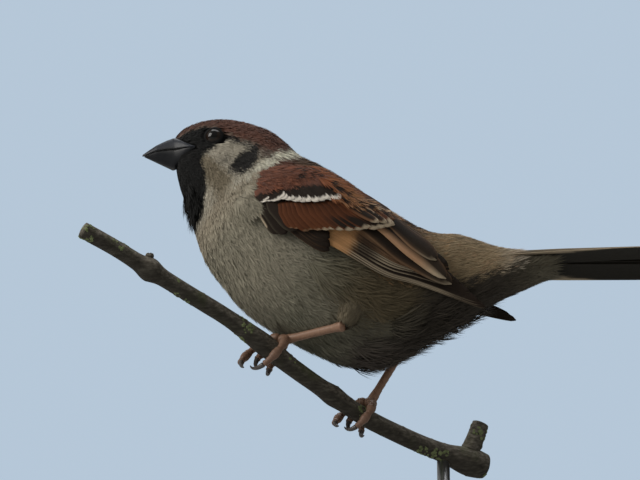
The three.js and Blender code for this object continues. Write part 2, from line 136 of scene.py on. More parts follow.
def posed(points, station):
    turned = rotated(points, "Z", headTurn * (1 - smooth(station, *neckRun)), neckPivot)
    return rotated(turned, "X", tailRoll * smooth(station, *rumpRun), tailAxis)


def lofted(table, station, degrees, lift):
    # degrees run from the back, 0, down the right side (positive) or the left (negative)
    station, degrees, lift = np.broadcast_arrays(*(np.asarray(v, float) for v in (station, degrees, lift)))
    section = sectionAt(table, station)
    back, belly, half = section[..., 0:2], section[..., 2:4], section[..., 4]
    length = np.linalg.norm(back - belly, axis=-1)
    up = (back - belly) / length[..., None]
    angle = np.radians(degrees)
    middle = (back + belly) / 2 + up * ((length / 2 + lift) * np.cos(angle))[..., None]
    return np.stack([middle[..., 0], (half + lift) * np.sin(angle), middle[..., 1]], -1)


def bodySurface(station, degrees, lift):
    station = np.clip(station, 0, lastStation - 0.001)
    return posed(lofted(bodySections, station, degrees, lift), station)


def wingSurface(station, degrees, lift):
    return lofted(wingSections, np.clip(station, 0, len(wingSections) + 0.5), degrees, lift)


def toStand(points):
    return (np.asarray(points) + specimenPlace) * mm


def meshObject(name, points, faces, uvs=None, colours=None, smoothFaces=True):
    # points in metres; faces is an array, or a list of arrays that differ in their number of corners
    faces = [np.asarray(f) for f in (faces if isinstance(faces, list) else [faces])]
    corners = np.concatenate([f.ravel() for f in faces])
    sizes = np.concatenate([np.full(len(f), f.shape[1]) for f in faces])
    mesh = bpy.data.meshes.new(name)
    mesh.vertices.add(len(points))
    mesh.vertices.foreach_set("co", np.asarray(points, np.float32).ravel())
    mesh.loops.add(len(corners))
    mesh.loops.foreach_set("vertex_index", corners.astype(np.int32))
    mesh.polygons.add(len(sizes))
    mesh.polygons.foreach_set("loop_start", (np.cumsum(sizes) - sizes).astype(np.int32))
    mesh.update(calc_edges=True)
    mesh.validate()
    for layerName, uv in (uvs or {}).items():
        mesh.uv_layers.new(name=layerName).data.foreach_set("uv", uv[corners].astype(np.float32).ravel())
    if colours is not None:
        paint(mesh, colours)
    mesh.polygons.foreach_set("use_smooth", np.full(len(mesh.polygons), smoothFaces))
    obj = bpy.data.objects.new(name, mesh)
    bpy.context.collection.objects.link(obj)
    return obj


def paint(mesh, colours):
    layer = mesh.color_attributes.new("plumage", "FLOAT_COLOR", "POINT")
    rgba = np.ones((len(colours), 4), np.float32)
    rgba[:, :3] = colours
    layer.data.foreach_set("color", rgba.ravel())


def gridFaces(rows, columns, wrap=False):
    i = np.arange(rows - 1)[:, None] * columns
    j = np.arange(columns if wrap else columns - 1)[None, :]
    k = (j + 1) % columns
    return np.stack([i + j, i + k, i + columns + k, i + columns + j], -1).reshape(-1, 4)


def tubeFaces(rows, sides):
    # the walls of a tube and a face over each end
    ring = np.arange(sides)[None]
    return [gridFaces(rows, sides, True), ring[:, ::-1], (rows - 1) * sides + ring]


def gridObject(name, points, faces, colour):
    # points is rows of rings, with one colour for all or a colour for each
    colour = np.broadcast_to(colour, points.shape).reshape(-1, 3)
    return facingOut(meshObject(name, toStand(points.reshape(-1, 3)), faces, None, colour))


def dress(obj, material, slotName, *nodes):
    obj.data.materials.clear()
    obj.data.materials.append(material)
    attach(obj, "root")
    if nodes:
        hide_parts(*nodes)
    return obj


def evaluated(obj):
    # the modifiers' result as a plain mesh
    graph = bpy.context.evaluated_depsgraph_get()
    old, obj.data = obj.data, bpy.data.meshes.new_from_object(obj.evaluated_get(graph), depsgraph=graph)
    obj.modifiers.clear()
    obj.data.name = obj.name
    bpy.data.meshes.remove(old)
    return obj


def facingOut(obj):
    work = bmesh.new()
    work.from_mesh(obj.data)
    bmesh.ops.remove_doubles(work, verts=work.verts, dist=1e-7)
    bmesh.ops.recalc_face_normals(work, faces=work.faces)
    work.to_mesh(obj.data)
    work.free()
    return obj


def join(tree, value, socket):
    # value is a plain value or another node's output
    if isinstance(value, bpy.types.NodeSocket):
        tree.links.new(value, socket)
    else:
        socket.default_value = value


def node(tree, kind, settings=None, **links):
    # links are named after sockets, with _ for a space, or i0, i1 and so on by their place
    made = tree.nodes.new(kind)
    for key, value in (settings or {}).items():
        setattr(made, key, value)
    for key, value in links.items():
        byPlace = key[0] == "i" and key[1:].isdigit()
        join(tree, value, made.inputs[int(key[1:]) if byPlace else key.replace("_", " ")])
    return made


def maths(tree, operation, *values):
    links = {f"i{place}": value for place, value in enumerate(values)}
    return node(tree, "ShaderNodeMath", {"operation": operation}, **links).outputs[0]


def mixColours(tree, share, a, b):
    made = node(tree, "ShaderNodeMix", {"data_type": "RGBA"})
    for label, kind, value in (("Factor", "VALUE", share), ("A", "RGBA", a), ("B", "RGBA", b)):
        join(tree, value, next(i for i in made.inputs if i.name == label and i.type == kind))
    return next(o for o in made.outputs if o.type == "RGBA")


def colourRamp(tree, share, low, high, *inBetween):
    # each stop is a position and a colour
    ramp = node(tree, "ShaderNodeValToRGB", Fac=share)
    stops = ramp.color_ramp.elements
    for stop, (position, colour) in zip(stops, (low, high)):
        stop.position, stop.color = position, (*colour, 1)
    for position, colour in inBetween:
        stops.new(position).color = (*colour, 1)
    return ramp.outputs["Color"]


def newGroup(name, **values):
    # a group takes a colour and named values, and gives a colour and a height
    tree = bpy.data.node_groups.new(name, "ShaderNodeTree")
    for label, kind, way in (("Color", "NodeSocketColor", "INPUT"), ("Color", "NodeSocketColor", "OUTPUT"),
                             ("Height", "NodeSocketFloat", "OUTPUT")):
        tree.interface.new_socket(label, in_out=way, socket_type=kind)
    for label, value in values.items():
        socket = tree.interface.new_socket(label.replace("_", " "), in_out="INPUT", socket_type="NodeSocketFloat")
        socket.default_value = value
    return tree, tree.nodes.new("NodeGroupInput").outputs, tree.nodes.new("NodeGroupOutput").inputs


def closeGroup(tree, end, colour, gain, height):
    scaledColour = node(tree, "ShaderNodeVectorMath", {"operation": "SCALE"}, i0=colour, Scale=gain)
    tree.links.new(scaledColour.outputs[0], end["Color"])
    tree.links.new(height, end["Height"])
    return tree


def makeSoftVariation():
    # gentle mottling in object space: a colour made a little lighter and darker, with a height to go with it
    tree, start, end = newGroup("softVariation", Scale=400.0, Amount=0.2)
    place = node(tree, "ShaderNodeTexCoord").outputs["Object"]
    noise = node(tree, "ShaderNodeTexNoise", Vector=place, Scale=start["Scale"], Detail=4.0, Roughness=0.6)
    height, amount = noise.outputs["Fac"], maths(tree, "MULTIPLY", start["Amount"], 3.0)
    swing = maths(tree, "MULTIPLY", maths(tree, "SUBTRACT", height, 0.5), amount)
    return closeGroup(tree, end, start["Color"], maths(tree, "ADD", swing, 1.0), height)


def makeBarbs():
    # fine slanting lines to both sides of a feather's shaft, from a UV map with u across and v along in decimetres
    tree, start, end = newGroup("barbs", Per_Millimetre=5.0, Depth=0.2)
    vane = node(tree, "ShaderNodeUVMap", {"uv_map": "vane"}).outputs[0]
    parts = node(tree, "ShaderNodeSeparateXYZ", Vector=vane).outputs
    across = maths(tree, "ABSOLUTE", maths(tree, "SUBTRACT", parts["X"], 0.5))
    along = maths(tree, "MULTIPLY", parts["Y"], 100.0)
    slant = maths(tree, "SUBTRACT", along, maths(tree, "MULTIPLY", across, 7.0))
    wobble = node(tree, "ShaderNodeTexNoise", Vector=vane, Scale=30.0, Detail=2.0).outputs["Fac"]
    phase = maths(tree, "ADD", maths(tree, "MULTIPLY", slant, start["Per Millimetre"]), wobble)
    line = maths(tree, "MULTIPLY_ADD", maths(tree, "SINE", maths(tree, "MULTIPLY", phase, 6.283)), 0.5, 0.5)
    gain = maths(tree, "SUBTRACT", 1.0, maths(tree, "MULTIPLY", line, start["Depth"]))
    return closeGroup(tree, end, start["Color"], gain, line)


softVariation = makeSoftVariation()
barbs = makeBarbs()


def grouped(tree, group, **links):
    return node(tree, "ShaderNodeGroup", {"node_tree": group}, **links).outputs


def newMaterial(name, roughness, specular=0.5, sheen=0.0, coat=0.0):
    material = bpy.data.materials.new(name)
    material.use_nodes = True
    shader = material.node_tree.nodes["Principled BSDF"]
    values = {"Roughness": roughness, "Specular IOR Level": specular, "Sheen Weight": sheen, "Sheen Roughness": 0.4,
              "Coat Weight": coat, "Coat Roughness": 0.08}
    for label, value in values.items():
        shader.inputs[label].default_value = value
    return material, material.node_tree, shader


def bumped(tree, shader, height, strength, distance):
    bump = node(tree, "ShaderNodeBump", Height=height, Strength=strength, Distance=distance)
    tree.links.new(bump.outputs["Normal"], shader.inputs["Normal"])


def paintedMaterial(name, roughness, specular, scale, amount, relief=0.0, sheen=0.0, coat=0.0):
    # the painted colour, softly varied; relief is the depth of the bump in metres
    material, tree, shader = newMaterial(name, roughness, specular, sheen, coat)
    colour = node(tree, "ShaderNodeAttribute", {"attribute_name": "plumage"}).outputs["Color"]
    look, strength = grouped(tree, softVariation, Color=colour, Scale=scale, Amount=amount), 0.4
    if name == "featherVane":
        look, strength = grouped(tree, barbs, Color=look["Color"], Per_Millimetre=3.2, Depth=0.22), 0.35
    tree.links.new(look["Color"], shader.inputs["Base Color"])
    if relief:
        bumped(tree, shader, look["Height"], strength, relief)
    return material


coatMaterial = paintedMaterial("featherDown", roughness=0.8, specular=0.2, scale=700.0, amount=0.12, sheen=0.06)
skinMaterial = paintedMaterial("downySkin", roughness=0.95, specular=0.2, scale=700.0, amount=0.15, sheen=0.06)
vaneMaterial = paintedMaterial("featherVane", roughness=0.7, specular=0.1, scale=500.0, amount=0.1, relief=0.00006)
billMaterial = paintedMaterial("billHorn", roughness=0.42, specular=0.3, scale=900.0, amount=0.12, relief=0.00004)
eyeMaterial = paintedMaterial("eye", roughness=0.14, specular=0.3, scale=1500.0, amount=0.2, coat=0.12)
lidMaterial = paintedMaterial("lid", roughness=0.8, specular=0.12, scale=2500.0, amount=0.3, relief=0.00008)
legMaterial = paintedMaterial("legSkin", roughness=0.5, specular=0.4, scale=1200.0, amount=0.2, relief=0.00005)
clawMaterial = paintedMaterial("clawHorn", roughness=0.32, specular=0.5, scale=900.0, amount=0.15, relief=0.00002)
print("painted materials ready")

# the camera, in millimetres of lens, metres and degrees, and the room's light
view = {"lens": 96.75, "distance": 0.430, "up": 15.0, "aim": (-0.009, -0.004, 0.1176)}
studio = {
    "backdrop": (0.466, 0.572, 0.687), "fillAbove": (0.235, 0.235, 0.225), "fillBelow": (0.040, 0.039, 0.035),
    "fillFull": 0.75, "floor": (0.42, 0.42, 0.41), "floorRadius": 3.0, "floorSides": 96,
    "lamps": {
        "key": {"place": (-1.05, -0.50, 0.75), "size": 0.8, "power": 12.5, "colour": (1.0, 0.97, 0.92)},
        "top": {"place": (0.10, 0.35, 1.3), "size": 1.2, "power": 10.0, "colour": (0.97, 0.98, 1.0)},
    },
}


def aimed(name, data, place):
    # a camera or lamp that looks at the view's aim
    holder = bpy.data.objects.new(name, data)
    holder.location = place
    holder.rotation_euler = (Vector(view["aim"]) - holder.location).to_track_quat("-Z", "Y").to_euler()
    bpy.context.collection.objects.link(holder)
    return holder


def addCamera():
    up = math.radians(view["up"])
    ahead = Vector((0, math.cos(up), math.sin(up)))
    data = bpy.data.cameras.new("camera")
    data.lens, data.sensor_width, data.clip_start = view["lens"], 36, 0.01
    bpy.context.scene.camera = aimed("camera", data, Vector(view["aim"]) - ahead * view["distance"])


def addWorld():
    world = bpy.data.worlds.new("studio")
    world.use_nodes = True
    tree = world.node_tree
    backdrop = tree.nodes["Background"]
    backdrop.inputs["Color"].default_value = (*studio["backdrop"], 1)
    # the light of the room falls off towards the floor
    height = node(tree, "ShaderNodeSeparateXYZ", Vector=node(tree, "ShaderNodeTexCoord").outputs["Generated"])
    around = node(tree, "ShaderNodeMapRange", Value=height.outputs["Z"], From_Min=-1.0)
    fade = colourRamp(tree, around.outputs[0], (0, studio["fillBelow"]), (studio["fillFull"], studio["fillAbove"]))
    fill = node(tree, "ShaderNodeBackground", Color=fade)
    # the backdrop is seen at full strength, and lights the bird less
    seen = node(tree, "ShaderNodeLightPath").outputs["Is Camera Ray"]
    chosen = node(tree, "ShaderNodeMixShader", i0=seen, i1=fill.outputs[0], i2=backdrop.outputs[0])
    tree.links.new(chosen.outputs[0], tree.nodes["World Output"].inputs["Surface"])
    bpy.context.scene.world = world
    bpy.context.scene.view_settings.view_transform = "Standard"


def addFloor():
    turn = turns(studio["floorSides"])
    ring = np.stack([np.cos(turn), np.sin(turn), 0 * turn], -1) * studio["floorRadius"]
    floor = meshObject("floor", ring, np.arange(len(turn))[None, :], smoothFaces=False)
    material, _, shader = newMaterial("paleFloor", 0.9)
    shader.inputs["Base Color"].default_value = (*studio["floor"], 1)
    floor.data.materials.append(material)


addCamera()
addWorld()
addFloor()
for name, box in studio["lamps"].items():
    lamp = bpy.data.lights.new(name, "AREA")
    lamp.size, lamp.energy, lamp.color = box["size"], box["power"], box["colour"]
    aimed(name, lamp, box["place"])
print("camera and studio ready")

# the colours of the plumage
tone = {
    "chestnut": (0.150, 0.066, 0.045),
    "capDark": (0.105, 0.055, 0.042),
    "black": (0.009, 0.009, 0.009),
    "cheek": (0.46, 0.42, 0.34),
    "earBlack": (0.022, 0.021, 0.020),
    "earGrey": (0.15, 0.115, 0.092),
    "collar": (0.74, 0.72, 0.60),
    "neckSide": (0.38, 0.33, 0.25),
    "breast": (0.30, 0.275, 0.21),
    # the belly, flank, lower belly, vent and under tail coverts are darker than the bird's own pale underparts:
    # partly their own colour, partly painted shade
    "belly": (0.175, 0.17, 0.125),
    "flank": (0.110, 0.086, 0.050),
    "bellyLow": (0.088, 0.073, 0.062),
    "vent": (0.054, 0.045, 0.035),
    "underCoverts": (0.135, 0.120, 0.085),
    "rump": (0.31, 0.235, 0.14),
    "upperCoverts": (0.43, 0.385, 0.32),
    "mantle": (0.125, 0.072, 0.040),
    "thigh": (0.18, 0.15, 0.10),
    "rufous": (0.175, 0.052, 0.020),
    "covertRufous": (0.092, 0.031, 0.013),
    "lesser": (0.150, 0.064, 0.043),
    "brownBlack": (0.022, 0.015, 0.011),
    "darkBrown": (0.050, 0.035, 0.024),
    "midBrown": (0.11, 0.08, 0.055),
    "buff": (0.44, 0.235, 0.105),
    "tan": (0.36, 0.21, 0.12),
    "paleEdge": (0.42, 0.34, 0.24),
    "white": (0.74, 0.68, 0.60),
    "tailBrown": (0.085, 0.066, 0.048),
    # the tail's under side is far darker than its top: painted shade
    "tailUnderShaded": (0.022, 0.020, 0.016),
}
tone = {key: np.array(value) for key, value in tone.items()}


def layered(colour, *layers):
    # each layer is a colour, or its name in tone, and how much of it shows
    for over, share in layers:
        colour = mix(colour, tone[over] if isinstance(over, str) else over, share)
    return colour


def bodyColours(station, degrees):
    # the colour of the plumage by place: station along the body and angle from the back
    s, a = np.broadcast_arrays(np.asarray(station, float), np.abs(np.asarray(degrees, float)))
    above = layered(tone["mantle"], ("rump", smooth(s, 12.2, 14.9)), ("upperCoverts", smooth(s, 16.5, 18.5)))
    palePatch = np.exp(-((s - 12.0) / 0.7) ** 2 - ((a - 126) / 13) ** 2)
    # under the body the colour darkens towards the flanks, lower belly and vent: partly the bird's own colour,
    # partly painted shade
    under = layered(
        tone["neckSide"], ("breast", smooth(s, 6.5, 8.5)), ("belly", smooth(s, 10.0, 12.0)),
        ("flank", smooth(s, 10.5, 13) * (1 - smooth(a, 105, 140))),
        ("bellyLow", smooth(s, 12.3, 13.8) * smooth(a, 115, 150)), (tone["breast"] * 0.85, 0.6 * palePatch),
        ("vent", smooth(s, 14.0, 15.2)), ("underCoverts", smooth(s, 17.0, 19.0)))
    sideEdge = np.interp(s, (7, 8, 9.5, 13, 14.5, 17, 20), (46, 60, 70, 78, 92, 98, 96))
    body = mix(above, under, smooth(a, sideEdge - 7, sideEdge + 7))
    # a grey-brown nape, then the white collar and the chestnut of the shoulder behind it
    nape = layered(tone["earGrey"], ("neckSide", smooth(a, 30, 62)))
    body = mix(nape, body, smooth(s, 7.9, 8.7))
    body = mix(body, under, smooth(a, 80, 92) * (1 - smooth(s, 9, 9.5)))
    collarAt = np.interp(a, (0, 30, 47, 63, 80, 92, 109), (7.95, 7.95, 7.6, 7.42, 7.12, 6.72, 6.35))
    width = np.interp(a, (0, 20, 40, 75, 100), (0.20, 0.24, 0.25, 0.21, 0.22))
    shoulder = within(a, 36, 44, 75, 79) * smooth(s, collarAt + 0.15, collarAt + 0.4) * (1 - smooth(s, 11, 12))
    collar = (1 - smooth(np.abs(s - collarAt), width * 0.8, width * 1.4)) * (1 - smooth(a, 86, 112))
    # the collar's white is painted brighter high on the neck and a little duller low on the side: painted light
    # from above
    white = tone["collar"] * np.interp(a, (40, 65), (1.2, 0.95))[..., None]
    # a pale cheek with painted shade below it and grey behind it
    cheekBack = np.interp(a, (50, 60, 75, 90, 105), (6.3, 6.6, 6.9, 6.9, 6.0))
    cheek = (1 - smooth(s, cheekBack - 0.15, cheekBack + 0.5)) * smooth(a, 54, 60)
    shade = within(a, 92, 99, 112, 124) * (1 - smooth(s, 6.0, 6.8))
    behind = 1 - smooth(np.hypot((s - 6.85) / 0.6, (a - 52) / 9), 0.75, 1.2)
    # the black ear patch: a slanting lobe, an arm that rises from it and a faint streak before it
    along, down = (s - 6.1) * 4.6, (a - 76) * 0.19
    lobe = np.hypot((along * 0.77 - down * 0.56 - 0.2) / 3.8, (along * 0.56 + down * 0.77 - 0.4) / 2.5)
    arm = np.hypot((s - 6.28) / 0.30, (a - 64) / 11)
    ear = 1 - smooth(np.minimum(lobe, arm), 0.78, 1.08)
    streak = 0.55 * (1 - smooth(np.hypot((s - 5.0) / 0.5, (a - 88 + (s - 5) * 9) / 4), 0.6, 1.1))
    # the cap with a dark line under it, and the black of the face and bib
    capEdge = np.interp(s, (0, 0.3, 1.0, 1.6, 2.2, 3.0, 3.8, 4.8, 5.6, 6.5, 7.2, 7.5, 8.2),
                        (30, 42, 51, 51, 46, 48, 58, 60.5, 56, 55, 47.5, 40, 30))
    line = within(a, capEdge, capEdge + 1.5, capEdge + 4, capEdge + 7) * within(s, 3.6, 4.0, 5.9, 6.3)
    blackEdge = np.interp(a, (50, 56, 60, 67, 73.5, 81, 90, 98, 107, 117, 127, 141, 150, 170, 180),
                          (5.6, 5.5, 5.0, 4.4, 3.97, 3.7, 3.35, 3.07, 3.4, 4.3, 4.95, 5.7, 5.8, 5.9, 5.95))
    face = (1 - smooth(s, blackEdge - 0.12, blackEdge + 0.14)) * smooth(a, capEdge - 3, capEdge + 3)
    crown = layered(tone["capDark"], ("chestnut", smooth(s, 0.5, 4.5) * 0.75))
    cap = (1 - smooth(a, capEdge - 4, capEdge + 3)) * (1 - smooth(s, 7.35, 7.75))
    return layered(
        body, ("lesser", shoulder), (white, collar * np.interp(a, (0, 12, 30), (0.45, 0.7, 1))), ("cheek", cheek),
        (tone["neckSide"] * (0.62, 0.60, 0.55), shade), ("earGrey", behind), ("earBlack", np.maximum(ear, streak)),
        ("earBlack", line), ("black", face), (crown, cap))


# the skin under the feathers
# shade darkens the skin's markings: painted shade under the coat
skinShape = {"from": 0.02, "to": 19.4, "rings": 150, "sides": 72, "thigh": (4.6, 1.05), "thighRings": 8,
             "thighSides": 20, "voxel": 0.45, "relax": 0.5, "rounds": 4, "shade": 0.6}
legs = {
    "left": {"heel": (10.4, -14.2, -22.4), "knee": (15, -8.6, -13), "grip": 0.468, "hang": 1.7},
    "right": {"heel": (27.4, 10.2, -20.6), "knee": (22.5, 8.6, -12), "grip": 0.703, "hang": 0.9},
}


def coatDepth(station):
    # how far under the feather tips the skin lies
    return np.interp(station, (0, 1, 3, 6, 9, 12, 16, 19.4), (0.35, 0.5, 0.75, 1.2, 1.9, 2.1, 1.8, 1.1))


def coneSurface(start, end, radii, reference):
    # a thigh as a surface: station runs from 0 at the knee to 1 at the heel
    start, end = np.array(start, float), np.array(end, float)
    axis = unit(end - start)
    side = unit(np.cross(axis, reference))
    other = np.cross(side, axis)

    def surface(station, degrees, lift):
        radius = between(*radii, np.clip(station, 0, 1) ** 1.3) + lift
        angle = np.radians(degrees)
        around = np.cos(angle)[..., None] * side + np.sin(angle)[..., None] * other
        return between(start, end, np.asarray(station)[..., None]) + around * radius[..., None]

    return surface


def makeSkin():
    rings, sides = skinShape["rings"], skinShape["sides"]
    station = np.linspace(skinShape["from"], skinShape["to"], rings)[:, None]
    degrees = np.linspace(-180, 180, sides + 1)[None, :-1]
    loft = bodySurface(station, degrees, -coatDepth(station))
    points, faces = loft.reshape(-1, 3), tubeFaces(rings, sides)
    for leg in legs.values():
        knee, heel = np.array(leg["knee"], float), np.array(leg["heel"], float)
        thigh = coneSurface(knee, between(heel, knee, 0.04), skinShape["thigh"], (0, 0, 1.0))
        share = np.linspace(0, 1, skinShape["thighRings"])[:, None]
        faces += [f + len(points) for f in tubeFaces(skinShape["thighRings"], skinShape["thighSides"])]
        points = np.vstack([points, thigh(share, -np.degrees(turns(skinShape["thighSides"])), 0).reshape(-1, 3)])
    skin = facingOut(meshObject("skin", toStand(points), faces))
    remesh = skin.modifiers.new("remesh", "REMESH")
    remesh.mode = "VOXEL"
    remesh.voxel_size = skinShape["voxel"] * mm
    relax = skin.modifiers.new("relax", "SMOOTH")
    relax.factor, relax.iterations = skinShape["relax"], skinShape["rounds"]
    evaluated(skin)
    place = np.empty(len(skin.data.vertices) * 3, np.float32)
    skin.data.vertices.foreach_get("co", place)
    skin.data.polygons.foreach_set("use_smooth", np.full(len(skin.data.polygons), True))
    # each vertex takes the marking of the nearest place on the loft
    stations, angles = np.repeat(station[:, 0], sides), np.tile(degrees[0], rings)
    tree = KDTree(len(stations))
    for i, p in enumerate(toStand(loft.reshape(-1, 3))):
        tree.insert(p, i)
    tree.balance()
    nearest = np.array([tree.find(p)[1] for p in place.reshape(-1, 3)])
    # the skin is painted darker than the feathers above it: painted shade under the coat
    paint(skin.data, bodyColours(stations[nearest], angles[nearest]) * skinShape["shade"])
    return skin


skin = makeSkin()
dress(skin, skinMaterial, "plumage_pale", "head", "neck", "trunk", "rump", "thigh_left", "thigh_right")
print("skin:", len(skin.data.polygons), "faces")

# a blade has seven corners: two at each of three steps and one at its point
bladeSteps = np.array((0.0, 0.42, 0.76, 1.0))
bladeWidths = np.array((0.75, 1.0, 0.62))
bladeFaces = np.array([(0, 3, 1), (0, 2, 3), (2, 5, 3), (2, 4, 5), (4, 6, 5)])
bladeT = np.repeat(bladeSteps, 2)[:-1]
bladeU = np.array((0, 1, 0, 1, 0, 1, 0.5))


def scales(surface, station, degrees, lift):
    # millimetres for each unit of station and for each degree, and the outward direction
    step, turn = 0.02, 0.5
    here = surface(station, degrees, lift)
    ahead = surface(station + step, degrees, lift) - here
    around = surface(station, degrees + turn, lift) - here
    perStation, perDegree = (np.linalg.norm(v, axis=-1) / d for v, d in ((ahead, step), (around, turn)))
    return np.maximum(perStation, 1.0), np.maximum(perDegree, 0.02), unit(np.cross(ahead, around))


def blades(surface, station, degrees, heading, length, width, rootLift, tipLift, roll):
    # narrow leaf shapes that lie on a surface: every argument is an array with one entry for each blade
    perStation, perDegree, _ = scales(surface, station, degrees, rootLift)
    runS, runA = np.cos(heading) * length / perStation, np.sin(heading) * length / perDegree
    spine = np.stack([surface(station + runS * t, degrees + runA * t, between(rootLift, tipLift, t ** 0.8))
                      for t in bladeSteps], 1)
    normal = scales(surface, station + runS * 0.5, degrees + runA * 0.5, (rootLift + tipLift) / 2)[2]
    across = np.cross(normal, unit(spine[:, -1] - spine[:, 0]))
    across = across * np.cos(roll)[:, None] + normal * np.sin(roll)[:, None]
    half = across[:, None] * (width[:, None] * bladeWidths / 2)[..., None]
    sides = np.stack([spine[:, :-1] - half, spine[:, :-1] + half], 2).reshape(len(station), 6, 3)
    return np.concatenate([sides, spine[:, -1:]], 1).reshape(-1, 3)


def eyePlace(side):
    return posed((eyeCentre * np.array((1, side, 1)))[None], np.zeros(1))[0]


def rootGrid(surface, low, high, spacing, random, sweep=(-180, 180)):
    # jittered rows of roots round a surface, at about one spacing from each other
    stations, degrees = [], []
    s, row, jitter = low, 0, 0.35
    steps = np.linspace(*sweep, 73)
    while s < high:
        ring = surface(np.full(73, s), steps, 0)
        run = np.concatenate([[0], np.cumsum(np.linalg.norm(np.diff(ring, axis=0), axis=-1))])
        count = max(4, int(run[-1] / spacing))
        where = (np.arange(count) + 0.5 * (row % 2) + random.uniform(-jitter, jitter, count)) / count * run[-1]
        degrees.append(np.interp(where % run[-1], run, steps))
        stride = scales(surface, np.array(s), np.array(90.0), np.array(0.0))[0]
        stations.append(s + random.uniform(-jitter, jitter, count) * spacing / stride)
        s += spacing * 0.9 / stride
        row += 1
    return np.concatenate(stations), np.concatenate(degrees)


def clearOfFace(station, degrees, reach=0.5):
    # neither the root nor the path of a feather may cross an eye or the sides of the bill
    keep = np.ones(len(station), bool)
    for side in (-1, 1):
        for share in (0, 0.35, 0.7, 1.0):
            off = bodySurface(station + share * reach, degrees, 0) - eyePlace(side)
            keep &= np.linalg.norm(off, axis=-1) > eyeRadius + 0.62
    flat = lofted(bodySections, np.clip(station, 0, 19), degrees, 0)
    billBack = np.interp(flat[:, 2], (20.0, 23.8, 24.4, 28.0), (-31.9, -27.0, -27.0, -31.9))
    return keep & (flat[:, 0] > billBack)


def bodyTone(station, degrees, fan, t, luck):
    # the tone of a tuft has a row for each blade and a column for each of its corners, or one column for all
    return bodyColours(station, degrees)[:, None]


def addTufts(name, surface, roots, look, lifts, random):
    # each tuft is a fan of blades from one root
    station, degrees = roots
    count, n = len(station), look["blades"]
    side = np.where(degrees < 0, -1, 1)
    length = look["length"] * random.uniform(0.85, 1.12, count)
    tipStation = station + 0.8 * length / scales(surface, station, degrees, 0 * station)[0]
    rootLift, tipLift = lifts(station, degrees, tipStation)
    tipLift = tipLift + random.normal(0, 0.4, count) * look["rise"]
    lean = side * np.radians(look.get("lean", 0)) + np.radians(random.normal(0, 5, count))

    def each(values):
        return np.repeat(values, n, axis=0)

    fan = np.tile(np.linspace(-1, 1, n), count) + random.uniform(-0.15, 0.15, count * n)
    heading = each(lean) + np.radians(look["spread"]) * fan
    bladeLength = each(length) * (1 - 0.22 * fan ** 2) * random.uniform(0.82, 1.08, count * n)
    points = blades(
        surface, each(station), each(degrees), heading, bladeLength,
        look["width"] * random.uniform(0.8, 1.2, count * n),
        each(rootLift), each(tipLift) + random.normal(0, 0.35, count * n) * look["rise"],
        np.radians(random.normal(0, 14, count * n)),
    )
    gain = random.uniform(0.90, 1.10, (count, 1))
    toneOf = look.get("tone", bodyTone)
    tones = toneOf(each(tipStation), each(degrees), fan, bladeT, each(random.uniform(0, 1, count)))
    tones = tones * (each(gain) * random.uniform(0.93, 1.07, (count * n, 1)))[:, None]
    # each blade darkens towards its root: partly the darker feather bases, partly painted shade under the blades
    # above
    darkRoot = np.interp(bladeT, (0, 0.5, 1), (0.60, 0.90, 1.04))
    colours = (tones * darkRoot[:, None]).reshape(-1, 3)
    # each blade has its own speck of the bake's picture
    rootUv = np.stack([each(station) / look.get("reference", lastStation), (each(degrees) + 180) / 360], -1)
    across = fan[:, None] * 0.45 + 0.5 + (bladeU - 0.5) * 0.1
    speck = np.stack([across, bladeT + 0 * across], -1)
    uv = (rootUv[:, None] * 0.99 + speck * 0.003).reshape(-1, 2)
    faces = (bladeFaces + 7 * np.arange(count * n)[:, None, None]).reshape(-1, 3)
    obj = meshObject(name, toStand(points), faces, {"OFBake": uv}, colours)
    dress(obj, coatMaterial, look.get("slot", "plumage_pale"))
    print(name, count, "feathers,", len(faces), "triangles")


def backTone(station, degrees, fan, t, luck):
    # mantle feathers are black down the middle, in rows along the back that fade out towards the rump
    rows = np.sin(np.radians(degrees * 27) + 0.8 * np.sin(station * 2.6))
    warm = (np.abs(fan) > 0.6) * 0.45 * (rows < -0.2)
    streaked = (rows + 0.5 * (luck - 0.5) + 0.25 * (np.abs(fan) < 0.5) > 0.15) & (np.abs(degrees) < 62)
    dark = streaked * within(station, 8.2, 8.8, 12.6, 13.8) * 0.92
    return layered(bodyColours(station, degrees), ("buff", warm), ("brownBlack", dark))[:, None]


def rumpTone(station, degrees, fan, t, luck):
    # a few feathers of the rump show a dark shaft or a warmer edge
    dark = (luck < 0.12) * (np.abs(fan) < 0.5) * 0.5
    warm = (luck > 0.84) * (np.abs(degrees) < 95) * 0.45
    return layered(bodyColours(station, degrees), ("darkBrown", dark), ("tan", warm))[:, None]


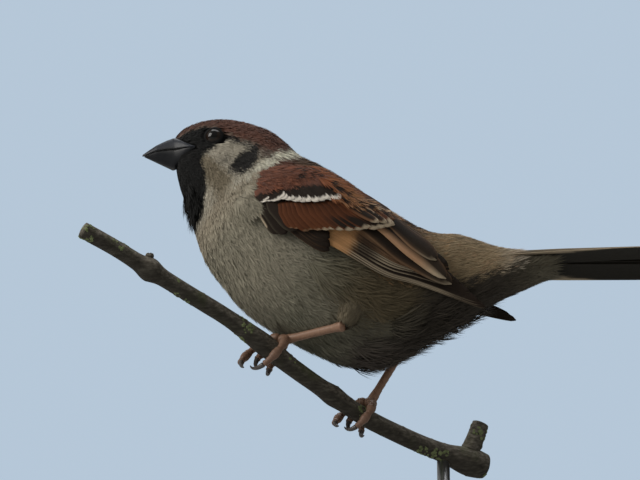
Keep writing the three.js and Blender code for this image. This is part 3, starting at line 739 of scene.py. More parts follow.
# one entry for each piece: where its feathers are rooted, and what they are like, in millimetres and degrees
coats = {
    "coatFace": {"from": 0.06, "to": 3.0, "where": lambda s, a: a > -1, "spacing": 0.60, "lengths": (1.4, 2.3),
                 "blades": 4, "spread": 26, "width": 0.28, "rise": 0.12, "seed": 11},
    "coatCheek": {"from": 3.0, "to": 6.4, "where": lambda s, a: a > 58, "spacing": 0.76, "lengths": (2.3, 3.4),
                  "blades": 5, "spread": 24, "width": 0.32, "rise": 0.16, "seed": 12},
    "coatCrown": {"from": 3.0, "to": 8.1, "spacing": 0.8, "lengths": (2.4, 4.2),
                  "where": lambda s, a: (a <= 58) & ((s < 7.7) | (a < 44)) | (s > 6.4) & (s < 7.3) & (a < 75),
                  "blades": 6, "spread": 20, "width": 0.32, "rise": 0.16, "seed": 13},
    "coatBreast": {"from": 6.4, "to": 10.2, "where": lambda s, a: (a > 75) & ((s < 7.1) | (a > 88)), "spacing": 1.0,
                   "lengths": (4.2, 7.0), "blades": 9, "spread": 25, "width": 0.36, "rise": 0.34, "seed": 14},
    "coatBelly": {"from": 10.2, "to": 14.2, "where": lambda s, a: a > 86, "spacing": 1.2, "lengths": (7.0, 8.5),
                  "blades": 11, "spread": 26, "width": 0.38, "rise": 0.42, "seed": 15},
    "coatBack": {"from": 8.1, "to": 14.2, "where": lambda s, a: (a <= 86) & ((a < 50) | (s > 12) | (s < 9)),
                 "spacing": 1.2, "lengths": (5.0, 8.0), "blades": 9, "spread": 20, "width": 0.4, "rise": 0.15,
                 "tone": backTone, "seed": 16},
    "coatRump": {"from": 14.2, "to": 18.6, "where": lambda s, a: s < 16.9 + 1.6 * smooth(a, 80, 130),
                 "spacing": 1.1, "lengths": (7.5, 8.5), "blades": 10, "spread": 20, "width": 0.38, "rise": 0.25,
                 "tone": rumpTone, "seed": 17},
}

for name, coat in coats.items():
    random = np.random.default_rng(coat["seed"])
    station, degrees = rootGrid(bodySurface, coat["from"], coat["to"], coat["spacing"], random)
    keep = coat["where"](station, np.abs(degrees)) & clearOfFace(station, degrees)
    station, degrees = station[keep], degrees[keep]
    look = dict(coat, length=np.interp(station, (coat["from"], coat["to"]), coat["lengths"]))
    addTufts(name, bodySurface, (station, degrees), look,
             lambda s, a, tip: (-0.9 * coatDepth(s), -0.05 * coatDepth(s)), random)


def evenLifts(low, high):
    return lambda s, a, tip: (low + 0 * s, high + 0 * s)


# loose plumes under the throat, belly and vent, and those of the breast and flank that fall over the wing's edge;
# the box is from and to along the body and round it
wisps = {
    "wispsThroat": {"box": (2.4, 4.6, 140, 180), "count": 110, "blades": 6, "spread": 22, "width": 0.26,
                    "length": 3.2, "rise": 0.9, "lifts": (-0.5, 1.2), "seed": 20},
    "wispsBelly": {"box": (13.0, 14.8, 140, 180), "count": 150, "blades": 7, "spread": 16, "width": 0.3,
                   "length": 10.5, "rise": 1.2, "lifts": (-1.0, 1.8), "seed": 21},
    "wispsVent": {"box": (13.6, 16.4, 120, 180), "count": 120, "blades": 7, "spread": 24, "width": 0.3,
                  "length": 10.5, "rise": 1.6, "lifts": (-1.0, 2.4), "seed": 22},
    "plumesWrist": {"box": (7.1, 8.0, 88, 104), "count": 110, "blades": 10, "spread": 24, "width": 0.34,
                    "length": 5.0, "rise": 0.4, "lifts": (-0.8, 1.4), "seed": 23},
    "plumesFlank": {"box": (10.6, 14.6, 97, 112), "count": 150, "blades": 10, "spread": 24, "width": 0.36,
                    "length": 8.5, "rise": 0.6, "lifts": (-0.8, 0.5), "seed": 24},
}
for name, wisp in wisps.items():
    random = np.random.default_rng(wisp["seed"])
    (low, high, lowDegrees, highDegrees), count = wisp["box"], wisp["count"]
    side = np.where(random.uniform(0, 1, count) < 0.5, -1, 1)
    roots = (random.uniform(low, high, count), side * random.uniform(lowDegrees, highDegrees, count))
    addTufts(name, bodySurface, roots, wisp, evenLifts(*wisp["lifts"]), random)

thighFeathers = {"spacing": 0.8, "blades": 8, "spread": 20, "width": 0.32, "rise": 0.3, "seed": 31,
                 "lengths": (4.5, 2.6), "radii": (5.0, 1.35), "to": 0.86, "lifts": (-0.5, 0.15), "reference": 1.0,
                 "tone": lambda *place: tone["thigh"]}
for side, leg in legs.items():
    random = np.random.default_rng(thighFeathers["seed"])
    surface = coneSurface(leg["knee"], leg["heel"], thighFeathers["radii"], (0, 1.0, 0))
    station, degrees = rootGrid(surface, 0.0, thighFeathers["to"], thighFeathers["spacing"], random)
    look = dict(thighFeathers, length=np.interp(station, (0, 1), thighFeathers["lengths"]))
    addTufts("thighFeathers" + side.title(), surface, (station, degrees), look, evenLifts(*look["lifts"]), random)
print("coat ready")


def wingHeight(station, degrees):
    # how far the closed wing's small coverts stand over the body
    a = np.abs(degrees)
    front = np.interp(a, (36, 46, 59, 73, 80, 84, 88, 94, 103), (8.5, 8.1, 7.55, 7.15, 7.2, 7.45, 7.7, 8.2, 9.1))
    low = np.interp(station, (8.4, 9.4, 9.9, 10.4, 11.2), (97, 104, 100, 96, 92))
    high = np.interp(station, (8.4, 10, 11.2, 12.7), (44, 38, 38, 36))
    return 3.0 * smooth(station - front, -0.1, 1.5) * smooth(low - a, -2, 14) * smooth(a - high, -4, 16)


def lesserTone(station, degrees, fan, t, luck):
    base = layered(tone["lesser"], ("rufous", luck * 0.5)) * (0.75 + 0.5 * luck)[:, None]
    base = mix(base, tone["white"] * 0.6, smooth(np.abs(degrees), 88, 94) * (luck > 0.45))
    streak = ((np.abs(degrees) < 63) & (station > 8.8) & (luck < 0.5))[:, None] * (1 - smooth(t, 0.75, 0.95))
    return layered(base[:, None], ("brownBlack", streak))


def scapularTone(station, degrees, fan, t, luck):
    base = mix(tone["rufous"] * 1.25, tone["buff"], smooth(station, 9.6, 12.0) * 0.6 + luck * 0.25)
    station, fan, luck = station[:, None], np.abs(fan)[:, None], luck[:, None]
    pale = (fan > 0.6) * smooth(t, 0.6, 0.9) * smooth(station, 10.8, 11.8)
    dark = (fan < 0.5) * (luck > 0.2) * (1 - smooth(t, 0.85, 1.0)) * smooth(station, 8.8, 9.4)
    return layered(base[:, None], (tone["paleEdge"] * 1.2, pale), ("brownBlack", dark))


# the patch of each wing coat lies between two lines, each a row of degrees and a row of stations
wingTufts = {
    "lesserCoverts": {
        "from": 7.35, "to": 9.9, "spacing": 0.9, "blades": 8, "spread": 26, "width": 0.36, "rise": 0.12,
        "length": 3.3, "tone": lesserTone, "seed": 41, "slot": "plumage_chestnut", "add": 0.0,
        "front": ((42, 50, 59, 70, 75, 80, 84, 90, 94, 100),
                  (8.45, 8.05, 7.65, 7.3, 7.35, 7.6, 7.85, 8.2, 8.6, 9.0)),
        "back": ((42, 58, 64, 75, 82, 89, 94, 100), (9.6, 9.75, 9.3, 8.65, 8.2, 8.15, 8.5, 9.0))},
    "scapulars": {
        "from": 8.6, "to": 11.9, "spacing": 1.5, "blades": 11, "spread": 20, "width": 0.42, "rise": 0.1,
        "length": 6.2, "tone": scapularTone, "seed": 42, "slot": "plumage_chestnut", "lean": 6, "add": 0.9,
        "front": ((30, 36, 50, 60), (8.7, 8.6, 9.0, 9.9)),
        "back": ((30, 38, 47, 55, 60), (11.7, 11.8, 11.6, 10.9, 9.9))},
}

for name, coat in wingTufts.items():
    for label, side in (("Left", -1), ("Right", 1)):
        random = np.random.default_rng(coat["seed"] + side)
        station, degrees = rootGrid(wingSurface, coat["from"], coat["to"], coat["spacing"], random, (20, 110))
        keep = (station > np.interp(degrees, *coat["front"])) & (station < np.interp(degrees, *coat["back"]))
        keep &= (degrees > coat["front"][0][0]) & (degrees < coat["front"][0][-1])
        extra = coat["add"]
        addTufts(name + label, wingSurface, (station[keep], degrees[keep] * side), coat,
                 lambda s, a, tip: (wingHeight(s, a) - 0.7 + extra * 0.5, wingHeight(tip, a) + extra), random)

# a vane is a sheet with two skins, drawn as rows along its shaft and columns across
acrossVane = np.array((-1, -0.9, -0.72, -0.42, -0.1, 0.1, 0.42, 0.72, 0.9, 1))
tipShare = 0.32


def vaneWidth(t, root, blunt):
    rounding = np.clip((t - 1 + tipShare) / tipShare, 0, 0.998) ** blunt
    return between(root, 1, smooth(t, 0, 0.35)) * (1 - rounding) ** 0.5


def vaneFaces(rows, columns, mirrored):
    grid = np.arange(rows * columns).reshape(rows, columns)
    rim = np.concatenate([grid[0, :-1], grid[:-1, -1], grid[-1, :0:-1], grid[:0:-1, 0]])
    after = np.roll(rim, -1)
    edge = np.stack([rim, after, after + grid.size, rim + grid.size], -1)
    faces = np.concatenate([gridFaces(rows, columns)[:, ::-1], gridFaces(rows, columns) + grid.size, edge])
    return faces[:, ::-1] if mirrored else faces


plainVane = {"rows": 20, "rootWidth": 0.45, "blunt": 2.2, "thick": 0.12, "tilt": 0.07, "dome": 0.35, "bend": 0.0}


def addVanes(name, surface, feathers, toneOf, nodes=()):
    # roots and tips are rows of station, degrees and lift; bend is in degrees
    look = {**plainVane, **feathers}
    root, tip, side = np.array(look["roots"], float), np.array(look["tips"], float), look["side"]
    count, rows, columns = len(root), look["rows"], len(acrossVane)
    t = np.linspace(0, 1, rows)[None] ** 0.85
    bend, half = (np.broadcast_to(look[key], (count,)).astype(float)[:, None] for key in ("bend", "half"))
    station, degrees, lift = (between(root[:, i:i + 1], tip[:, i:i + 1], t) for i in range(3))
    degrees = degrees + bend * 4 * t * (1 - t)
    perStation, perDegree, _ = scales(surface, station, degrees, lift)
    runS, runA = np.gradient(station, axis=1) * perStation, np.gradient(degrees, axis=1) * perDegree
    size = np.hypot(runS, runA) + 1e-9
    wide = half * vaneWidth(t, look["rootWidth"], look["blunt"])
    u = acrossVane[None, None]
    off = u * wide[..., None]
    overS = station[..., None] + (-runA / size / perStation)[..., None] * off
    overA = (degrees[..., None] + (runS / size / perDegree)[..., None] * off) * side
    middle = lift[..., None] + look["tilt"] * off - look["dome"] * u ** 2
    shells = [surface(overS, overA, middle + layer * look["thick"]).reshape(count, -1, 3) for layer in (0.5, -0.5)]
    faces = vaneFaces(rows, columns, side < 0)
    faces = (faces + 2 * rows * columns * np.arange(count)[:, None, None]).reshape(-1, 4)

    share = (np.arange(count) / max(count - 1, 1))[:, None, None]
    t, u, share, station = np.broadcast_arrays(t[..., None], u, share, station[..., None])
    upper = toneOf(t, u, share, station)
    # without its own tone the under side is the upper side at 0.8: painted shade
    under = look["underTone"](t, u, share, station) if "underTone" in look else upper * 0.8
    gain = np.random.default_rng(len(name)).uniform(0.88, 1.12, (count, 1, 1))
    colours = np.concatenate([upper.reshape(count, -1, 3) * gain, under.reshape(count, -1, 3) * gain], 1)
    length = (np.cumsum(size, axis=1) - size[:, :1])[..., None]
    vane = np.stack([0.5 + 0.5 * u * (wide / half)[..., None], length / 100 + 0 * u], -1)
    vane = np.concatenate([vane.reshape(count, -1, 2)] * 2, 1)
    # a cell of the bake for each feather, upper side on the left and under side on the right
    across = math.ceil(math.sqrt(count))
    corner = np.stack([np.arange(count) % across, np.arange(count) // across], -1) / across
    local = np.stack([(u[0] * 0.5 + 0.5) * 0.44 + 0.03, t[0] * 0.94 + 0.03], -1).reshape(-1, 2)
    bake = corner[:, None] + np.concatenate([local, local + (0.5, 0)]) / across
    obj = meshObject(name, toStand(np.concatenate(shells, 1).reshape(-1, 3)), faces,
                     {"OFBake": bake.reshape(-1, 2), "vane": vane.reshape(-1, 2)}, colours.reshape(-1, 3))
    dress(obj, vaneMaterial, "flight_feathers", *nodes)
    print(name, count, "vanes,", 2 * len(faces), "triangles")


def atShares(shares, line):
    # points spread along a line of knots
    line = np.array(line, float)
    knots = np.linspace(0, 1, len(line))
    return np.stack([np.interp(shares, knots, column) for column in line.T], -1)


# the tone of a vane: t runs from root to tip, u from -1 on the inner edge to 1 on the outer, share from the first
# feather of the row to the last, and station is the place along the wing


def primaryTone(t, u, share, station):
    rim = 0.08 * share ** 4
    dark = within(station, 11.5, 11.8, 12.1, 12.7) * (u > 0.5) * (share < 0.6)
    return layered(
        tone["brownBlack"] * 1.1, (tone["paleEdge"] * 0.9, smooth(u, 0.78 + rim, 0.88 + rim)),
        (tone["brownBlack"] * 1.6, smooth(station, 14.8, 15.8) * 0.7),
        (tone["buff"] * 1.25, (1 - smooth(station, 11.4, 11.8)) * smooth(u, -0.3, 0.2)),
        ("brownBlack", dark * 0.8))


def secondaryTone(t, u, share, station):
    dark = within(station, 11.4, 11.8, 12.1, 12.6) * smooth(share, 0.4, 0.7)
    return layered(
        tone["darkBrown"] * 0.45, (tone["tan"] * 0.45, smooth(u, 0.66, 0.86)),
        (tone["buff"] * 1.15, (1 - smooth(station, 11.3, 11.7)) * smooth(u, -0.3, 0.2)),
        ("brownBlack", dark * 0.75))


def tertialTone(t, u, share, station):
    # the second feather's edge is the widest and palest
    second = np.exp(-((share - 0.33) / 0.12) ** 2)
    gain = np.maximum(0.5 + 0.8 * second, 0.75 * (share > 0.5))[..., None]
    pale = layered(tone["tan"], ("paleEdge", smooth(t, 0.7, 1.0))) * gain
    return layered(
        tone["brownBlack"], ("darkBrown", smooth(t, 0.4, 1.0) * 0.6),
        (tone["tan"] * 0.35, smooth(-u, 0.6, 0.9) * 0.7),
        (pale, smooth(u, 0.68 - 0.36 * second, 0.82 - 0.30 * second)),
        (tone["paleEdge"] * 1.1, smooth(t - 0.05 * (u < 0.2), 0.95, 0.985)))


def greaterTone(t, u, share, station):
    centre = (1 - smooth(np.abs(u - 0.35), 0.40, 0.55)) * smooth(t, 0.35, 0.6) * smooth(share, 0.5, 0.6)
    # the inner feathers have wider, paler tips
    start = 0.94 - 0.06 * smooth(share, 0.25, 0.4)
    tip = mix(tone["tan"] * 0.7, tone["paleEdge"] * 1.2, smooth(share, 0.25, 0.45))
    return layered(
        tone["covertRufous"], ("brownBlack", (1 - smooth(np.abs(u), 0.05, 0.5)) * 0.35),
        (tone["covertRufous"] * 1.5, smooth(u, 0.5, 0.9) * 0.7), ("brownBlack", centre),
        (tip, smooth(t + 0.06 * np.abs(u), start, start + 0.04) * 0.9))


def scapularVaneTone(t, u, share, station):
    centre = (1 - smooth(np.abs(u), 0.4, 0.6)) * within(t, 0.2, 0.4, 0.88, 0.95)
    return layered(
        tone["covertRufous"] * 1.3, (tone["tan"] * 0.6, smooth(t, 0.3, 0.9) * 0.6), ("brownBlack", centre),
        (tone["paleEdge"] * 1.3, smooth(t + 0.06 * np.abs(u), 0.93, 0.97) * (share < 0.6)))


def medianTone(t, u, share, station):
    start = 0.87 - 0.05 * share
    white = smooth(t + 0.08 * np.abs(u), start, start + 0.05)
    return layered(tone["lesser"], ("brownBlack", smooth(t, 0.25, 0.4)), (tone["white"] * 1.15, white))


def coverTone(t, u, share, station):
    return layered(tone["brownBlack"], (tone["tan"] * 0.22, smooth(u, 0.86, 0.98)))


def alulaTone(t, u, share, station):
    pale = tone["paleEdge"] * np.where((share > 0.9) & (t < 0.65), 1.2, 0.12)[..., None]
    return layered(tone["brownBlack"] * 1.1, (pale, smooth(u, 0.80, 0.92)))


# each row of feathers is set by knots from its first feather to its last, at the root and at the tip
tracts = {
    "primaries": {
        "count": 7, "roots": ((10.7, 74.5, 1.5), (10.5, 85.5, 1.0)), "half": (1.9, 1.7), "bend": (-4.0, -7),
        "rows": 34, "tone": primaryTone, "tilt": 0.05, "dome": 0.15, "blunt": 2.0, "node": "primaries"},
    "secondaries": {
        "count": 7, "roots": ((10.6, 63.0, 2.5), (10.6, 71.5, 1.9)), "tips": ((14.9, 70, 2.2), (15.1, 75.5, 1.5)),
        "half": (2.6, 2.0), "bend": (-3.5, -3.5), "rows": 24, "tone": secondaryTone, "dome": 0.2,
        "node": "secondaries"},
    "tertials": {
        "count": 4, "roots": ((10.9, 62, 2.5), (10.9, 56, 2.7), (10.9, 48, 2.4), (11.0, 44, 1.6)),
        "tips": ((15.3, 82.5, 2.2), (15.1, 81, 2.6), (14.5, 69, 2.8), (13.6, 54.5, 2.2)), "half": (2.7, 2.4),
        "bend": (-4.5, -8, -7, -4), "rows": 24, "tone": tertialTone, "tilt": 0.1, "rootWidth": 0.95, "dome": 0.2,
        "node": "tertials"},
    "primaryCoverts": {
        "count": 5, "roots": ((9.5, 83.5, 2.0), (9.4, 90, 1.6)), "tips": ((10.95, 83.5, 2.1), (11.15, 90, 1.4)),
        "half": (1.9, 1.6), "rows": 14, "tone": coverTone},
    "greaterCoverts": {
        "count": 14, "roots": ((9.1, 84, 2.2), (9.5, 77, 2.7), (10.0, 68, 2.9), (10.6, 57, 3.2)),
        "tips": ((9.95, 91, 2.4), (10.5, 84.5, 2.8), (11.1, 76, 3.2), (11.8, 66, 3.5), (12.35, 56, 3.6)),
        "half": (1.7, 2.3), "rows": 16, "tone": greaterTone, "dome": 0.12, "tilt": 0.05, "blunt": 1.8,
        "node": "coverts"},
    "medianCoverts": {
        "count": 19, "roots": ((7.95, 86, 1.3), (8.25, 79, 1.9), (8.6, 71, 2.4), (9.4, 57, 2.8)),
        "tips": ((8.65, 87.5, 2.4), (9.1, 81.5, 3.1), (9.7, 74.5, 3.4), (10.5, 60, 3.7)), "half": (1.3, 1.5),
        "rows": 16, "tone": medianTone, "blunt": 1.8, "dome": 0.1, "tilt": 0.03, "node": "shoulder"},
    "longScapulars": {
        "count": 6, "roots": ((10.0, 59, 3.0), (10.3, 52, 2.9), (10.5, 44, 2.3), (10.6, 36, 1.7)),
        "tips": ((11.9, 58.5, 4.0), (12.4, 55, 3.7), (12.2, 47, 3.0), (12.0, 39, 2.2)), "half": (1.5, 1.6),
        "rows": 18, "tone": scapularVaneTone, "dome": 0.25, "tilt": 0.08, "blunt": 2.0},
    "alula": {
        "count": 3, "roots": ((8.6, 86, 2.1), (8.6, 92, 1.0)), "tips": ((10.0, 92.5, 2.3), (9.7, 99, 1.0)),
        "half": (2.3, 2.0), "rows": 16, "tone": alulaTone, "dome": 0.15},
}
# where the longest primary ends: the right wing reaches further back than the left
wingTips = {"Left": (16.6, 92), "Right": (17.9, 83.5)}

for label, side in (("Left", -1), ("Right", 1)):
    station, degrees = wingTips[label]
    primaryTips = ((14.9, degrees - 18, 1.2), (15.6, degrees - 12, 1.0),
                   (station - 0.3, degrees - 3, 0.9), (station, degrees, 0.7))
    for name, tract in tracts.items():
        shares, bend = np.linspace(0, 1, tract["count"]), np.array([tract.get("bend", (0, 0))]).T
        tips = atShares(shares, tract.get("tips", primaryTips))
        tips[:, :2] += np.random.default_rng(50 + len(name)).normal(0, 1, (len(tips), 2)) * (0.03, 0.5)
        feathers = dict(tract, roots=atShares(shares, tract["roots"]), tips=tips, side=side,
                        half=np.linspace(*tract["half"], len(tips)), bend=atShares(shares, bend)[:, 0])
        nodes = ["wing_" + label.lower() + "_" + tract["node"]] if "node" in tract else []
        addVanes(name + label, wingSurface, feathers, tract["tone"], nodes)
print("wings ready")

# the tail feathers of one side, from the middle of the tail outwards
tail = {"pairs": 6, "length": (33.4, 34.6), "fan": (0.6, 3.2), "rootY": (0.9, 3.0), "top": (1.1, -1.1), "half": 3.3,
        "place": (61.9, 0, -2.6), "pitch": -1.5}


def tailSurface(station, degrees, lift):
    # station in centimetres along the tail, degrees as millimetres across it
    local = np.stack(np.broadcast_arrays(station * 10.0, degrees, lift), -1)
    tipped = rotated(local, "X", tailRoll, np.zeros(3))
    c, s = math.cos(math.radians(tail["pitch"])), math.sin(math.radians(tail["pitch"]))
    x, z = tipped[..., 0] * c + tipped[..., 2] * s, tipped[..., 2] * c - tipped[..., 0] * s
    return np.stack([x, tipped[..., 1], z], -1) + np.array(tail["place"])


def tailTone(t, u, share, station):
    # the outermost feather's outer web is pale at its base
    pale = (share > 0.95) * smooth(u, t * 1.9 - 1.1, t * 1.9 - 0.95)
    return layered(
        tone["tailBrown"], ("midBrown", 0.3 * smooth(t, 0.5, 1.0)),
        (tone["paleEdge"] * 0.7, smooth(u, 0.82, 0.97)),
        (tone["paleEdge"] * 1.1, pale))


# the tail's under side is painted far darker than its top: painted shade, with paler edges
def tailUnderShadedTone(t, u, share, station):
    pale = (share > 0.95) * smooth(u, t * 1.5 + 0.12, t * 1.5 + 0.25)
    return layered(
        tone["tailUnderShaded"], (tone["tailUnderShaded"] * 1.8, smooth(u, 0.85, 0.98)), (tone["paleEdge"] * 0.9, pale))


shares = np.linspace(0, 1, tail["pairs"])
length, fan, rootY, top = (between(*tail[key], shares) for key in ("length", "fan", "rootY", "top"))
tipY = rootY + np.tan(np.radians(fan)) * length
feathers = {"roots": np.stack([0 * shares - 1.1, rootY, top], -1), "tips": np.stack([length / 10, tipY, top], -1),
            "half": tail["half"], "rows": 26, "rootWidth": 0.85, "dome": 0.25, "tilt": -0.1, "blunt": 3.0,
            "thick": 0.14, "underTone": tailUnderShadedTone}
for label, side in (("Left", -1), ("Right", 1)):
    addVanes("rectrices" + label, tailSurface, dict(feathers, side=side), tailTone, ["tail"])
print("tail ready")

# in side view: the ridge and the cutting edge of each half, tip to throat, and its half width from above
bill = {
    "upper": {
        "ridge": ((-39.8, 23.45), (-38.6, 24.4), (-36.4, 26.0), (-33.8, 27.35),
                  (-32, 28.0), (-30.6, 27.1), (-29, 25.8), (-27.0, 24.5)),
        "half": ((-39.8, 0.25), (-38.6, 0.9), (-36.4, 1.9), (-33.8, 2.75), (-32, 3.4),
                 (-31.2, 3.95), (-29.75, 5.3), (-28.5, 6.05), (-27.0, 6.6)),
        "edge": ((-39.8, 23.1), (-36.4, 24.2), (-33, 24.42), (-27.0, 24.2)),
        "node": "bill_upper", "tone": (0.012, 0.015, 0.023)},
    # the lower half's tone is darker than the upper's: painted shade under the bill
    "lower": {
        "ridge": ((-39.3, 22.9), (-38.2, 22.45), (-36.4, 21.7), (-33.8, 20.6),
                  (-32, 19.9), (-30.6, 20.9), (-29, 22.3), (-27.0, 23.75)),
        "half": ((-39.3, 0.25), (-38.2, 0.85), (-36.4, 1.7), (-33.8, 2.5), (-32, 3.2),
                 (-31.2, 3.75), (-29.75, 5.15), (-28.5, 5.9), (-27.0, 6.5)),
        "edge": ((-39.3, 23.05), (-36.4, 23.95), (-33, 24.2), (-27.0, 24.05)),
        "node": "bill_lower", "tone": (0.006, 0.007, 0.010)},
}
billLook = {"rings": 64, "arch": 32, "floor": 8, "hollow": 0.12, "edgeTone": (0.032, 0.032, 0.033),
            "tipTone": (0.012, 0.012, 0.014)}


def eased(line, x):
    # a line through knots with its corners rounded off
    line = np.array(line)
    fine = np.linspace(line[0, 0], line[-1, 0], 200)
    value = np.interp(fine, line[:, 0], line[:, 1])
    kernel = np.hanning(21)
    padded = np.concatenate([2 * value[0] - value[10:0:-1], value, 2 * value[-1] - value[-2:-12:-1]])
    return np.interp(x, fine, np.convolve(padded, kernel / kernel.sum(), "valid"))


def makeMandible(name, half):
    first, last = half["ridge"][0][0], half["ridge"][-1][0]
    share = np.linspace(0, 1, billLook["rings"])
    x = first + (last - first) * share * share ** 0.25
    ridge, wide, edge = (eased(half[key], x)[:, None] for key in ("ridge", "half", "edge"))
    arch = np.radians(np.linspace(0, 180, billLook["arch"]))
    inner = np.linspace(-1, 1, billLook["floor"] + 2)[1:-1]
    power = np.interp(x, (-40, -33, -30, -27), (0.9, 0.75, 0.35, 0.2))[:, None]
    y = wide * np.concatenate([np.sign(np.cos(arch)) * np.abs(np.cos(arch)) ** power, inner + 0 * power], 1)
    z = edge + (ridge - edge) * np.concatenate([np.sin(arch), billLook["hollow"] * (1 - inner ** 2)])
    x = x[:, None]
    points = posed(np.stack([x + 0 * y, y, z], -1), 0 * y)
    # paler towards the cutting edge, dark at the tip
    rise = np.abs(z - edge) / np.maximum(np.abs(ridge - edge), 0.2)
    pale = (1 - smooth(rise, 0.02, 0.28)) * smooth(x, -38, -34) * (1 - smooth(x, -30.5, -28.5))
    colour = mix(np.array(half["tone"]), np.array(billLook["edgeTone"]), pale * 0.8)
    colour = mix(colour, np.array(billLook["tipTone"]), smooth(-x, 36.5, 39.5) * 0.7)
    dress(gridObject(name, points, tubeFaces(*y.shape), colour), billMaterial, "horn_bill", half["node"])


for name, half in bill.items():
    makeMandible("bill" + name.title(), half)

# angles in degrees from the eye's axis, which points outwards and a little forwards and up
eye = {"axis": (-0.22, 1.0, 0.10), "bulge": 0.02, "rings": 49, "sides": 60, "pupil": (0.003, 0.003, 0.003),
       "iris": (0.014, 0.007, 0.004), "irisFrom": (27, 31), "irisTo": (50, 56)}
lids = {"opening": 50, "narrower": 7.0, "back": 82, "rings": 12, "sides": 72, "thin": 0.04, "thick": 0.30,
        "fold": 0.05, "under": 0.3, "shade": ((0, 0.35, 0.6, 1), (0.006, 0.014, 0.007, 0.006)),
        "tint": (1, 0.98, 1.0)}


def ballPoints(axis, polar, around, radius):
    # polar from the axis, around it from straight forward (towards the bill)
    forward = np.array((-1.0, 0, 0))
    forward = unit(forward - axis * forward.dot(axis))
    up = np.cross(axis, forward)
    up = up if up[2] > 0 else -up
    out = np.cos(around)[..., None] * forward + np.sin(around)[..., None] * up
    return np.asarray(radius)[..., None] * (np.cos(polar)[..., None] * axis + np.sin(polar)[..., None] * out)


def makeEye(label, side):
    centre, axis = eyePlace(side), unit(np.array(eye["axis"]) * (1, side, 1))
    degrees = np.linspace(0, 180, eye["rings"])[:, None]
    bulge = 1 + eye["bulge"] * np.exp(-(degrees / 35) ** 2)
    points = centre + ballPoints(axis, np.radians(degrees), turns(eye["sides"])[None], eyeRadius * bulge)
    iris = smooth(degrees, *eye["irisFrom"]) * (1 - smooth(degrees, *eye["irisTo"]))
    colour = mix(np.array(eye["pupil"]), np.array(eye["iris"]), iris)
    ball = gridObject("eyeball" + label, points, gridFaces(*points.shape[:2], True), colour)
    dress(ball, eyeMaterial, "eye", "eye_" + label.lower())


def makeLids(label, side):
    # a ring on the ball round an opening that is longer than it is high
    centre, axis = eyePlace(side), unit(np.array(eye["axis"]) * (1, side, 1))
    around = turns(lids["sides"])[None]
    opening = lids["opening"] - lids["narrower"] * np.abs(np.sin(around)) ** 1.5
    share = np.linspace(0, 1, lids["rings"])[:, None]
    polar = np.radians(between(opening, lids["back"], share))
    thick = lids["thin"] + lids["thick"] * np.sin(np.pi * np.clip(share * 1.6, 0, 1))
    thick = thick + lids["fold"] * np.sin(share * 40) * (share < 0.7)
    outer = ballPoints(axis, polar, around, eyeRadius + thick)
    points = centre + np.concatenate([outer, ballPoints(axis, polar[::-1], around, eyeRadius - lids["under"])])
    rows, sides = points.shape[:2]
    shade = np.interp(np.concatenate([share, share[::-1]]), *lids["shade"])
    faces = gridFaces(rows + 1, sides, True) % (rows * sides)
    lid = gridObject("lids" + label, points, faces, shade[..., None] * np.array(lids["tint"]))
    dress(lid, lidMaterial, "plumage_pale")


for label, side in (("Left", -1), ("Right", 1)):
    makeEye(label, side)
    makeLids(label, side)
print("bill and eyes ready")


def curveThrough(points, steps=40):
    # a smooth curve through points: places along it and their distance from its start
    p = np.array(points, float)
    p = np.vstack([2 * p[0] - p[1], p, 2 * p[-1] - p[-2]])
    t = np.linspace(0, 1, steps, endpoint=False)[:, None]
    pieces = []
    for a, b, c, d in zip(p, p[1:], p[2:], p[3:]):
        ab, bc, cd = (np.linalg.norm(v) ** 0.5 for v in (b - a, c - b, d - c))
        m1 = ((b - a) / ab - (c - a) / (ab + bc) + (c - b) / bc) * bc
        m2 = ((c - b) / bc - (d - b) / (bc + cd) + (d - c) / cd) * bc
        pieces.append(b + t * m1 + t ** 2 * (3 * (c - b) - 2 * m1 - m2) + t ** 3 * (2 * (b - c) + m1 + m2))
    places = np.vstack(pieces + [p[-2:-1]])
    return places, np.concatenate([[0], np.cumsum(np.linalg.norm(np.diff(places, axis=0), axis=1))])


def pointAt(curve, share):
    places, run = curve
    return np.stack([np.interp(np.asarray(share) * run[-1], run, column) for column in places.T], -1)


def tangentAt(curve, share):
    return unit(pointAt(curve, np.clip(share + 0.002, 0, 1)) - pointAt(curve, np.clip(share - 0.002, 0, 1)))


def sweep(path, radius, reference=(0, 0, 1), dome=0.5):
    # a round tube along a path, with domed ends; radius has a row for each point and a column for each side
    rows, sides = radius.shape
    tangent = unit(np.gradient(path, axis=0))
    side = unit(np.cross(np.array(reference, float), tangent))
    up = np.cross(tangent, side)
    turn = turns(sides)[None, :, None]
    points = path[:, None] + (np.cos(turn) * up[:, None] + np.sin(turn) * side[:, None]) * radius[..., None]
    ends = path[[0, -1]] + tangent[[0, -1]] * (radius[[0, -1]].mean(axis=1) * (-dome, dome))[:, None]
    tip, j, after = 0 * np.arange(sides) + rows * sides, np.arange(sides), (np.arange(sides) + 1) % sides
    fans = np.vstack([
        np.stack([tip, after, j], -1), np.stack([tip + 1, tip - sides + j, tip - sides + after], -1)])
    return np.vstack([points.reshape(-1, 3), ends]), gridFaces(rows, sides, True), fans


def joinedSweeps(name, parts, colours=None):
    starts = np.cumsum([0] + [len(points) for points, _, _ in parts])
    faces = [np.vstack([part[kind] + start for part, start in zip(parts, starts)]) for kind in (1, 2)]
    obj = meshObject(name, toStand(np.vstack([points for points, _, _ in parts])), faces, None,
                     None if colours is None else np.vstack(colours))
    return facingOut(obj)


